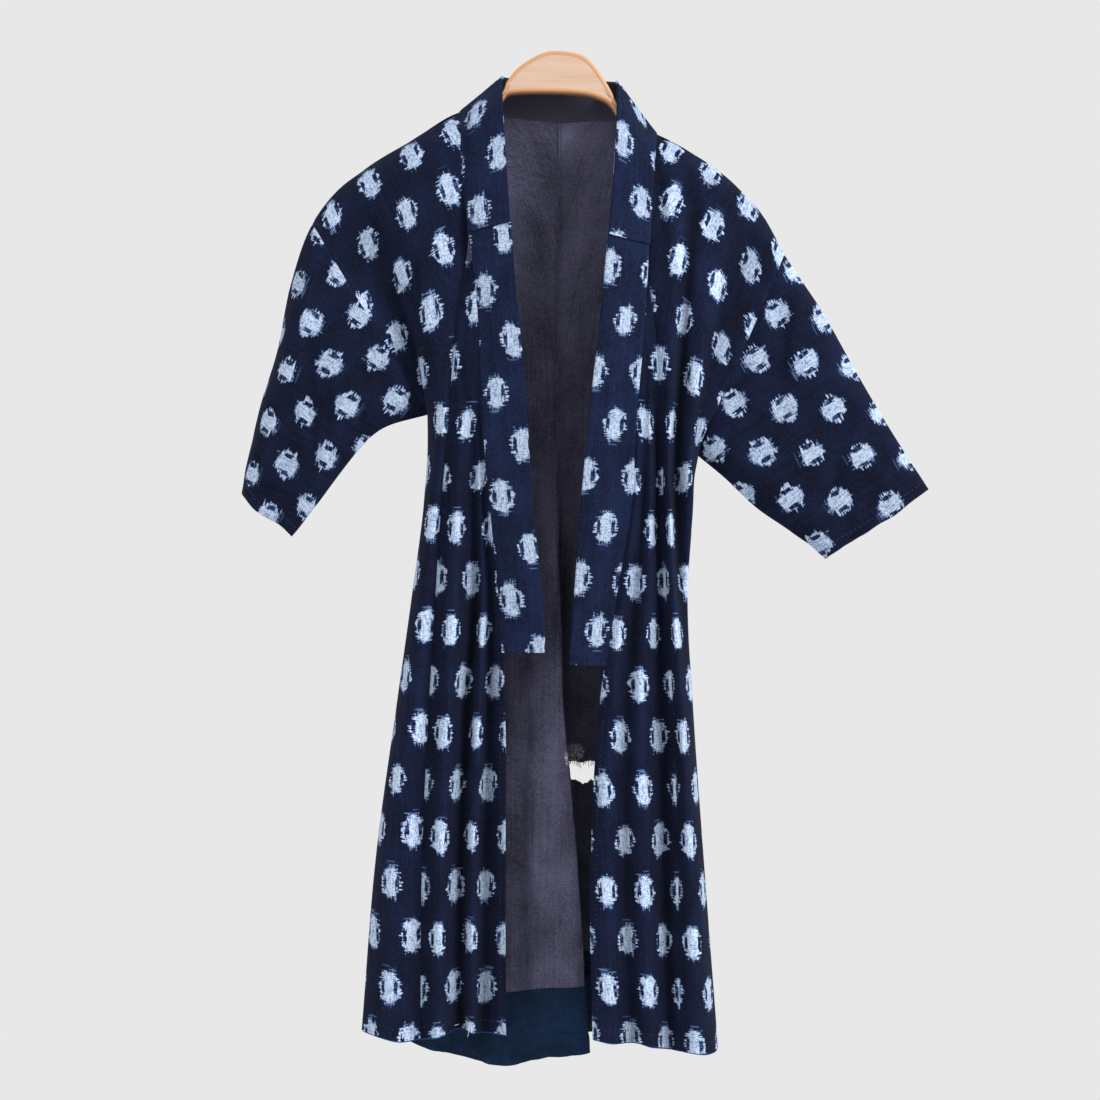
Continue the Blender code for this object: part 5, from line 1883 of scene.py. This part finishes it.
@dataclass
class Kimono:
    """All cloth pieces and the values that they share.

    Attributes:
        finishes: The materials.
        drape: How the cloth departs from its smooth sections.
        wall: Thickness of the outer cotton.
        cell: Spacing of the mesh along the cloth, in knots.
        seam_dip: How far the cloth is drawn in at a seam.
        dip_reach: How far from the seam.
        lap: How far a panel's edge runs on past its seam, in columns.
        fan_radius: Distance of the point that the cloth turns about above the underarm.
        fan_drop: Drop at which it starts to turn.
        bands: The collar, and the second band sewn over its upper part.
        patches: The outer pieces as they hang, for what is sewn on them.
        pieces: The sheets made, by name.
    """

    finishes: Finishes
    drape: Drape = Drape()
    wall: float = 0.9
    cell: float = 4.4
    seam_dip: float = 1.3
    dip_reach: float = 2.2
    lap: float = 0.03
    fan_radius: float = 650.0
    fan_drop: float = 360.0
    bands: tuple[Band, ...] = (Band("collar", COLLAR_END_KNOT, 2.3, 0.0),
                               Band("over_collar", OVER_COLLAR_END_KNOT, 1.3, 2.0))
    patches: dict[str, Patch] = field(default_factory=dict)
    pieces: dict[str, Object] = field(default_factory=dict)

    def __post_init__(self) -> None:
        """Work out the two halves of the garment."""
        self.halves = {side: Half(side) for side in Side}
        self.fronts = {s: h.front_surface() for s, h in self.halves.items()}
        self.backs = {s: h.back_surface(self.halves[s.other]) for s, h in self.halves.items()}

    def build(self) -> None:
        """Make every cloth piece with all that is sewn on it."""
        for side in Side:
            self.build_body(side)
            self.build_overlap(side)
            self.build_sleeve(side)
        for band in self.bands:
            self.build_band(band)
        trims = Needlework(self.finishes, self.patches).build()
        for name, piece in self.pieces.items():
            CUTS[name].declare(piece, trims.get(name, ()))

    def add(self, name: str, patches: Sequence[Patch], finish: Material, slot: str,
            hole: Callable[[Point], Point] | None = None) -> None:
        """Show the shell of some patches in place of the plain solid of that name."""
        mesh = shell_mesh(name, patches, hole)
        self.pieces[name] = show(name + "_cloth", mesh, finish, [name])

    def rows(self, first: float, last: float, dense: tuple[float, float] | None = None
             ) -> list[float]:
        """Knots along the cloth.

        Args:
            first: First knot.
            last: Last knot.
            dense: A stretch where the rows lie closer, if there is one.

        Returns:
            The sorted knots.
        """
        values = close_to_ends(first, last, round((last - first) / self.cell), (0.8, 2.0))
        if dense:
            low, high = dense
            values = [v for v in values if v < low - 1 or v > high + 1]
            values += spread(low, high, round((high - low) / RIP_CELL))
        return sorted(values)

    def settled(self, points: Point, outward: int, seam_distance: Point,
                extra: Point | float = 0.0) -> Point:
        """Points of a smooth surface moved to where the cloth really lies.

        Args:
            points: The grid.
            outward: Sign that turns its normals out.
            seam_distance: Distance from the nearest seam.
            extra: A further height.

        Returns:
            The moved grid.
        """
        height = self.drape.height(points) + extra
        height = height - self.seam_dip * np.exp(-(seam_distance / self.dip_reach) ** 2)
        return points + grid_normals(points, outward) * height[..., None] * MM

    def phased(self, cloth: Point, piece: str) -> Point:
        """Cloth coordinates with the piece's own start of the pattern."""
        return cloth + np.array(PHASES[piece])

    def plain_wall(self, points: Point) -> Point:
        """Half of the outer cotton's wall over a grid, thinner along its side edges."""
        return rounded_edges(from_sides(running(points, 1)), self.wall, self.wall * 0.5,
                             EDGE_RADIUS)

    def warp_levels(self, surface: Surface, rows: Sequence[float], column: float) -> Point:
        """How far up the cloth each row lies, in millimetres from the hem."""
        return running(surface.points(list(rows), [column]), 0)[:, 0]

    def panel_cloth(self, points: Point, side: Side, rows: Sequence[float], levels: Point,
                    start: int = 0, start_weft: float = 0.0) -> Point:
        """Weft and warp coordinates of a front or a back.

        Args:
            points: The panel's smooth surface.
            side: The half that it belongs to.
            rows: Knot of each row.
            levels: Warp coordinate of each row.
            start: Column that the weft is counted from.
            start_weft: Weft coordinate there, below the underarm.

        Returns:
            Rows by columns by 2, with the piece's own start of the pattern.
        """
        flat = points[..., ::2]
        extra = np.cumsum(steps_between(points, 1) - steps_between(flat, 1), axis=1)
        extra -= extra[:, start:start + 1]
        run = running(points, 1)
        run -= run[:, start:start + 1]
        out = side.sign * points[..., 0] / MM
        pivot = side.sign * self.seam_x(side) / MM + self.fan_radius
        rise = np.maximum(self.fan_drop + points[..., 2] / MM, 0.0)
        fan = self.fan_radius - np.hypot(pivot - out, rise) + extra
        share = ease((np.array(rows)[:, None] - UNDERARM_KNOT + 30.0) / 60.0)
        weft = (run + start_weft) * (1 - share) + fan * share
        return self.phased(on_grid(weft, levels[:, None]), "body_" + side.value)

    def seam_x(self, side: Side) -> float:
        """x of the overlap seam at the underarm, in metres."""
        return self.fronts[side].points([UNDERARM_KNOT], [0])[0, 0, 0]

    def front_patch(self, side: Side, fractions: Point) -> Patch:
        """The front panel as it hangs.

        Args:
            side: The half that it belongs to.
            fractions: Columns, as shares of the way from the overlap seam to the side seam.

        Returns:
            The patch, hem to shoulder.
        """
        surface = self.fronts[side]
        rows = self.rows(0.0, SHOULDER_KNOT)
        smooth = surface.points(rows, fractions * (FRONT_LAST - SEAM))
        levels = self.warp_levels(surface, rows, FRONT_MIDDLE)
        points = self.settled(smooth, surface.outward, from_sides(running(smooth, 1)))
        return Patch(points, self.panel_cloth(smooth, side, rows, levels), surface.outward,
                     self.plain_wall(smooth))

    def back_cloth(self, smooth: Point, side: Side, rows: Sequence[float], neck_at: int
                   ) -> Point:
        """Weft and warp of a back half, which carry on from the front's over the shoulder.

        Args:
            smooth: Its smooth surface.
            side: The half.
            rows: Knots along the cloth.
            neck_at: Which of its columns is the side of the neck.

        Returns:
            Rows by columns by 2, in millimetres.
        """
        surface = self.backs[side]
        top = self.warp_levels(self.fronts[side], spread(0, SHOULDER_KNOT, 200),
                               FRONT_MIDDLE)[-1]
        up = self.warp_levels(surface, rows, BACK_MIDDLE)
        neck_x = surface.points([UNDERARM_KNOT], [NECK])[0, 0, 0]
        start_weft = side.sign * (neck_x - self.seam_x(side)) / MM
        return self.panel_cloth(smooth, side, rows, 2 * top - (top - up[-1] + up), neck_at,
                                start_weft)

    def build_body(self, side: Side) -> None:
        """One length of cloth from the front hem over the shoulder to the back hem, and its
        lining.
        """
        is_torn = side is Side.LEFT
        neck_columns = close_to_ends(0.0, float(NECK), 18, (0.05, 0.12))
        side_columns = close_to_ends(float(NECK), float(BACK_LAST), 30, (0.03, 0.09))
        if is_torn:
            low, high = RIP_COLUMNS
            neck_columns = [c for c in neck_columns if c < low or c == NECK]
            neck_columns = sorted(neck_columns + spread(low, float(NECK), 20)[:-1])
            side_columns = [c for c in side_columns if c > high or c == NECK]
            side_columns = sorted(side_columns + spread(float(NECK), high, 38)[1:])
        columns = np.array(neck_columns[:-1] + side_columns)
        columns[0] -= self.lap
        columns[-1] += self.lap
        neck_at = len(neck_columns) - 1
        marks = [HEM_BAND_KNOT[side.value], float(LINING_TOP_KNOT)]
        rows = self.rows(0.0, SHOULDER_KNOT, RIP_ROWS if is_torn else None)
        rows = sorted([r for r in rows if min(abs(r - mark) for mark in marks) > 1.0] + marks)
        surface = self.backs[side]
        smooth = surface.points(rows, columns)
        back = Patch(self.settled(smooth, surface.outward, from_sides(running(smooth, 1))),
                     self.back_cloth(smooth, side, rows, neck_at), surface.outward,
                     self.plain_wall(smooth))
        front = self.front_patch(side, (np.array(side_columns) - NECK) / (BACK_LAST - NECK))
        front.points[-1] = back.points[-1, neck_at:]
        front.half_wall[-1] = back.half_wall[-1, neck_at:]
        front.cloth[-1] = back.cloth[-1, neck_at:]
        hole = worn_through if is_torn else None
        self.add("body_" + side.value, [front, back], self.finishes.kasuri, "indigo_cotton",
                 hole)
        self.build_lining(side, rows, smooth, back, neck_at, hole)
        self.patches["front_" + side.value] = front
        self.patches["back_" + side.value] = back

    def build_lining(self, side: Side, rows: list[float], smooth: Point, back: Patch,
                     neck_at: int, hole: Callable[[Point], Point] | None) -> None:
        """The thin lining inside the back half and the band that ends it at the hem.

        Args:
            side: The half to make.
            rows: Knots of the back's rows.
            smooth: The back's smooth surface.
            back: The back as it hangs.
            neck_at: Column at the side of the neck.
            hole: Tells which faces are worn away.
        """
        band_row = rows.index(HEM_BAND_KNOT[side.value])
        top_row = rows.index(float(LINING_TOP_KNOT))
        up = np.array(rows)[:, None]
        shaped = smooth / MM
        fine = smooth_noise(shaped, 30.0, 42)
        crinkle = smooth_noise(shaped * np.array((1.0, 1.0, 2.6)), 21.0, 41)
        slanted = shaped @ np.array(((0.8, 0, 0.5), (0, 1, 0), (-0.9, 0, 1.6)))
        creases = smooth_noise(slanted, 15.0, 43)
        near_band = np.exp(-((up - rows[band_row]) / 3.0) ** 2)
        in_band = (up < rows[band_row]) * 1.0
        extra = (fine * 0.6 + crinkle * 0.4 - 0.5 * near_band
                 - np.maximum(creases, 0) * (0.4 + 3.0 * in_band)
                 - np.maximum(crinkle, 0) * 1.4 * in_band)
        run = running(smooth, 1)
        points = self.settled(smooth, back.outward, run,
                              extra * np.minimum(1.0, (rows[-1] - up) / 40.0))
        half = rounded_edges(from_sides(run), LINING_WALL, 0.3, 1.0)
        sheet = Patch(points, back.cloth, back.outward, half, LINING_LIFT)
        inner = slice(0, smooth.shape[1] - 4)
        main = sheet.part(slice(band_row, top_row + 1), inner)
        top = sheet.part(slice(top_row, None), slice(0, neck_at))
        self.add("lining_" + side.value, [main, top], self.finishes.lining, "faded_lining", hole)
        hem = sheet.part(slice(0, band_row + 1), inner)
        hem.lift = LINING_LIFT + 0.1
        self.add("hem_band_" + side.value, [hem], self.finishes.hem_lining, "teal_hem_lining")

    def build_overlap(self, side: Side) -> None:
        """The long panel between the front and the collar."""
        surface = self.halves[side].overlap_surface()
        rows = self.rows(0.0, OVERLAP_TOP_KNOT)
        smooth = surface.points(
            rows, close_to_ends(0.0, float(SEAM) + 2 * self.lap, 34, (0.05, 0.12)))
        run = running(smooth, 1)
        weft = run[:, -1:] - run
        # Below the collar the free edge is no seam, so the dip stays away from it
        is_free = np.array(rows)[:, None] < COLLAR_END_KNOT[side.value]
        points = self.settled(smooth, surface.outward, np.minimum(weft, run + 8.0 * is_free))
        levels = self.warp_levels(self.fronts[side], rows, FRONT_MIDDLE)
        name = "overlap_" + side.value
        self.patches[name] = Patch(points, self.phased(on_grid(weft, levels[:, None]), name),
                                   surface.outward, self.plain_wall(smooth))
        self.add(name, [self.patches[name]], self.finishes.kasuri, "indigo_cotton")

    def build_sleeve(self, side: Side) -> None:
        """One tapered sleeve."""
        surface = self.halves[side].sleeve_surface()
        top, low = float(SHOULDER_KNOT), float(UNDERARM_KNOT)
        around = spread(low, top, 66) + spread(top, 2 * top - low, 66)[1:]
        smooth = surface.points(close_to_ends(-self.lap, 4.0, 84, (0.02, 0.04)), around)
        # The cloth's place comes from the front view: along the top fold, and down from it
        start = np.array(shoulder_point(side, 1.0))
        cuff_x, _y, cuff_drop = SLEEVES[side.value][-1][:3]
        along = np.array((cuff_x, cuff_drop), dtype=float) - start
        along /= np.linalg.norm(along)
        down = np.array((-along[1], along[0])) * side.sign
        flat = on_grid(smooth[..., 0] / MM, -smooth[..., 2] / MM)
        total = np.cumsum(steps_between(smooth, 1) - steps_between(smooth[..., ::2], 1), axis=1)
        middle = around.index(top)
        total -= total[:, middle:middle + 1]
        facing = np.where(np.arange(len(around)) <= middle, 1.0, -1.0)
        hang = SLEEVE_HANGS[side]
        cloth = hang.cloth((flat - start) @ along, (flat - start) @ down * facing - total)
        # The cuff is crumpled and its edge is uneven
        root = running(smooth, 0)
        cuff = ease(1 - (root[-1:] - root) / 60.0)
        crumple = smooth_noise(smooth / MM, 23.0, 71) * hang.crumple * cuff
        points = self.settled(smooth, surface.outward, root, crumple)
        ahead = unit(points[-1:] - points[-12:-11])
        uneven = smooth_noise(points[-1:] / MM, 24.0, 73) * hang.crumple * 0.8
        points = points + ahead * (uneven * cuff)[..., None] * MM
        points[:, -1] = points[:, 0] = (points[:, 0] + points[:, -1]) / 2
        half = rounded_edges(np.minimum(root, root[-1:] - root), self.wall, 0.5, EDGE_RADIUS)
        name = "sleeve_" + side.value
        self.patches[name] = Patch(points, self.phased(cloth, name), surface.outward, half)
        self.add(name, [self.patches[name]], self.finishes.kasuri, "indigo_cotton")

    def band_patch(self, band: Band, side: Side, columns: Sequence[float]) -> Patch:
        """A band beside one front, from its lower end to the shoulder.

        Args:
            band: The band.
            side: The half that it belongs to.
            columns: Columns from the seam to the free edge.

        Returns:
            The patch.
        """
        surface = self.halves[side].collar_surface()
        rows = self.rows(band.ends[side.value], float(SHOULDER_KNOT))
        smooth = surface.points(rows, columns)
        run = running(smooth, 1)
        length = running(smooth, 0)
        warp = length[-1:, :1] - np.mean(length, axis=1, keepdims=True)
        cloth = self.phased(on_grid(run[:, -1:] - run, warp), f"{band.name}_{side.value}")
        return Patch(self.settled(smooth, surface.outward, run), cloth, surface.outward,
                     rounded_edges(from_sides(run), band.wall, *BAND_EDGE), band.lift)

    def neck_patch(self, band: Band, columns: Sequence[float]) -> Patch:
        """A band behind the neck, from the right shoulder to the left one."""
        surface = back_collar_surface(self.halves[Side.RIGHT], self.halves[Side.LEFT])
        stations = len(surface.row_knots) - 3
        smooth = surface.points(spread(0, stations, 9 * stations), columns)
        run = running(smooth, 1)
        cloth = on_grid(run[:, -1:] - run, running(smooth, 0)[:, :1])
        return Patch(smooth, cloth, surface.outward,
                     rounded_edges(from_sides(run), band.wall, *BAND_EDGE), band.lift)

    def build_band(self, band: Band) -> None:
        """A folded band, up one front, round the neck and down the other."""
        columns = close_to_ends(-4 * self.lap, 2.0, 16, (0.03, 0.08, 0.15))
        middle = self.neck_patch(band, columns)
        patches = [middle]
        for side, end in ((Side.RIGHT, 0), (Side.LEFT, -1)):
            patch = self.band_patch(band, side, columns)
            patch.points[-1] = middle.points[end]
            patch.half_wall[-1] = middle.half_wall[end]
            patches.append(patch)
            self.patches[f"{band.name}_{side.value}"] = patch
        self.add(band.name, patches, self.finishes.collar_kasuri, "indigo_collar")


# The hanger


@dataclass
class Hanger:
    """The wooden hanger: a low dome with a rounded rim, and two arms inside the shoulders.

    Attributes:
        finishes: The materials.
        smooth_steps: Points between the outline's own corners.
        stations: Points along the top, and along the underside.
        arm_share: Width of the rim on the thin arms, as a share of the dome's.
        arm_from: Distance from the middle where the rim starts and ends to narrow.
        sharp: Angle in degrees above which an edge stays sharp.
        profile: The rim's section from the back round to the front: distance in from the
        outline, depth, and how much of the rim's colour it has; above 0.6, how much painted shade.
    """

    finishes: Finishes
    smooth_steps: int = 6
    stations: int = 170
    arm_share: float = 0.4
    arm_from: tuple[float, float] = (50.0, 66.0)
    sharp: float = 50.0
    profile: tuple[tuple[float, float, float], ...] = (
        (3.0, 8.5, 0.3), (1.4, 8.2, 0.5), (0.4, 7.2, 0.6), (0.0, 5.5, 0.7), (0.0, 1.0, 0.9),
        (0.0, -4.0, 0.5), (0.4, -6.2, 0.5), (1.3, -7.7, 0.5), (2.6, -8.4, 0.5),
        (3.8, -8.35, 0.5), (4.6, -8.0, 0.35), (5.2, -7.8, 0.1), (6.0, -7.75, 0.0),
        (6.8, -7.75, 0.0))

    def outline(self) -> Point:
        """The smooth outline seen from the front, as x and drop in millimetres.

        Returns:
            Points along the top from left to right, then as many along the underside back.
        """
        corners = np.array(HANGER_TOP + HANGER_UNDER, dtype=float)
        count = len(corners)
        line = []
        for k in range(count):
            a, b, c, d = (corners[(k + i) % count] for i in (-1, 0, 1, 2))
            for t in np.linspace(0, 1, self.smooth_steps, endpoint=False):
                line.append(0.5 * (2 * b + (c - a) * t + (2 * a - 5 * b + 4 * c - d) * t ** 2
                                   + (3 * b - a - 3 * c + d) * t ** 3))
        turn = (len(HANGER_TOP) - 1) * self.smooth_steps + 1
        top = np.array(line[:turn])
        under = np.array(line[turn + self.smooth_steps - 1:1 - self.smooth_steps])[::-1]
        halves = []
        for edge in (top, under):
            x = np.linspace(edge[0, 0], edge[-1, 0], self.stations)
            halves.append(np.stack((x, np.interp(x, edge[:, 0], edge[:, 1])), axis=1))
        return np.concatenate((halves[0], halves[1][::-1]))

    def inwards(self, line: Point) -> Point:
        """Unit directions into the outline at each of its points."""
        along = unit(np.roll(line, -2, axis=0) - np.roll(line, 2, axis=0))
        inward = np.stack((-along[:, 1], along[:, 0]), axis=1)
        area = np.sum(line[:, 0] * np.roll(line[:, 1], -1) - line[:, 1] * np.roll(line[:, 0], -1))
        return inward * np.sign(area)

    def build(self) -> None:
        """Make the hanger."""
        line = self.outline()
        start, end = self.arm_from
        on_arm = ease((np.abs(line[:, 0]) - start) / (end - start))
        inward = self.inwards(line) * (1 - (1 - self.arm_share) * on_arm)[:, None]
        shape = bmesh.new()
        rim = shape.verts.layers.float.new("rim")
        rings = []
        for distance, depth, shade in self.profile:
            ring = [shape.verts.new(place(x, depth, drop)) for x, drop in line + inward * distance]
            for vert in ring:
                vert[rim] = shade
            rings.append(ring)
        join_rings(shape, rings)
        for ring in (rings[0], rings[-1]):
            for k in range(self.stations - 1):
                shape.faces.new((ring[k], ring[k + 1], ring[-2 - k], ring[-1 - k]))
        mesh = finished_mesh("hanger", shape)
        mesh.set_sharp_from_angle(angle=math.radians(self.sharp))
        show("hanger_wood", mesh, self.finishes.maple, ["hanger"])


# The studio


@dataclass(frozen=True)
class Lamp:
    """A soft square lamp: its place in metres, its side, its watts and what it faces."""

    name: str
    at: tuple[float, float, float]
    size: float
    power: float
    towards: tuple[float, float, float]

    def build(self) -> None:
        """Make the lamp."""
        data = bpy.data.lights.new(self.name, "AREA")
        data.size = self.size
        data.energy = self.power
        lamp = add_object(self.name, data)
        lamp.location = self.at
        lamp.rotation_mode = "QUATERNION"
        ahead = Vector(self.towards) - Vector(self.at)
        lamp.rotation_quaternion = ahead.to_track_quat("-Z", "Y")


@dataclass(frozen=True)
class Studio:
    """The camera at the viewing angle of the garment, the pale floor and the soft lights.

    Attributes:
        camera_at: Place of the camera, in metres.
        lens: Focal length.
        sensor: Width of the sensor.
        roll: Turn of the camera about its line of sight, in degrees.
        floor_drop: How far the floor lies below the origin, in metres.
        floor_radius: Radius of its disc, in metres.
        floor_thick: Its thickness, in metres.
        backdrop: Colour of the surroundings.
        glow: Their strength.
        lamps: The key light and the fill light.
    """

    camera_at: tuple[float, float, float] = (-0.0028, -2.4485, -0.4989)
    lens: float = 74.8
    sensor: float = 36.0
    roll: float = 0.888
    floor_drop: float = 1.25
    floor_radius: float = 0.6
    floor_thick: float = 0.01
    backdrop: str = "#fdfdfd"
    glow: float = 0.82
    lamps: tuple[Lamp, ...] = (
        Lamp("key", (1.9, -1.5, 1.3), 0.8, 62.0, (0.05, 0.0, -0.45)),
        Lamp("fill", (-1.9, -1.8, 0.3), 1.6, 9.0, (-0.05, 0.0, -0.5)))

    def build(self) -> None:
        """Make the camera, the surroundings, the floor and the lights."""
        scene = bpy.context.scene
        data = bpy.data.cameras.new("camera")
        data.lens = self.lens
        data.sensor_width = self.sensor
        camera = add_object("camera", data)
        camera.location = self.camera_at
        ahead = Vector((0.0, 1.0, 0.0)).to_track_quat("-Z", "Y")
        camera.rotation_mode = "QUATERNION"
        camera.rotation_quaternion = ahead @ Quaternion((0.0, 0.0, 1.0), math.radians(self.roll))
        scene.camera = camera
        scene.view_settings.view_transform = "Standard"
        world = bpy.data.worlds.new("studio")
        world.use_nodes = True
        surround = world.node_tree.nodes["Background"]
        surround.inputs["Color"].default_value = linear(self.backdrop)
        surround.inputs["Strength"].default_value = self.glow
        scene.world = world
        self.build_floor()
        for lamp in self.lamps:
            lamp.build()

    def build_floor(self) -> None:
        """A plain pale disc below the garment."""
        shape = bmesh.new()
        bmesh.ops.create_cone(shape, cap_ends=True, segments=96, radius1=self.floor_radius,
                              radius2=self.floor_radius, depth=self.floor_thick)
        bmesh.ops.translate(shape, verts=shape.verts, vec=(0.0, 0.0, -self.floor_drop))
        mesh = finished_mesh("floor", shape, is_smooth=False)
        mesh.materials.append(FloorPaint().build())
        add_object("floor", mesh)


def main() -> None:
    """Build the garment, the hanger and the studio."""
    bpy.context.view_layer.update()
    finishes = Finishes.build()
    Kimono(finishes).build()
    Hanger(finishes).build()
    Studio().build()
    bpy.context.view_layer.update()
    log.info("kimono: done")


if __name__ == "__main__":
    main()
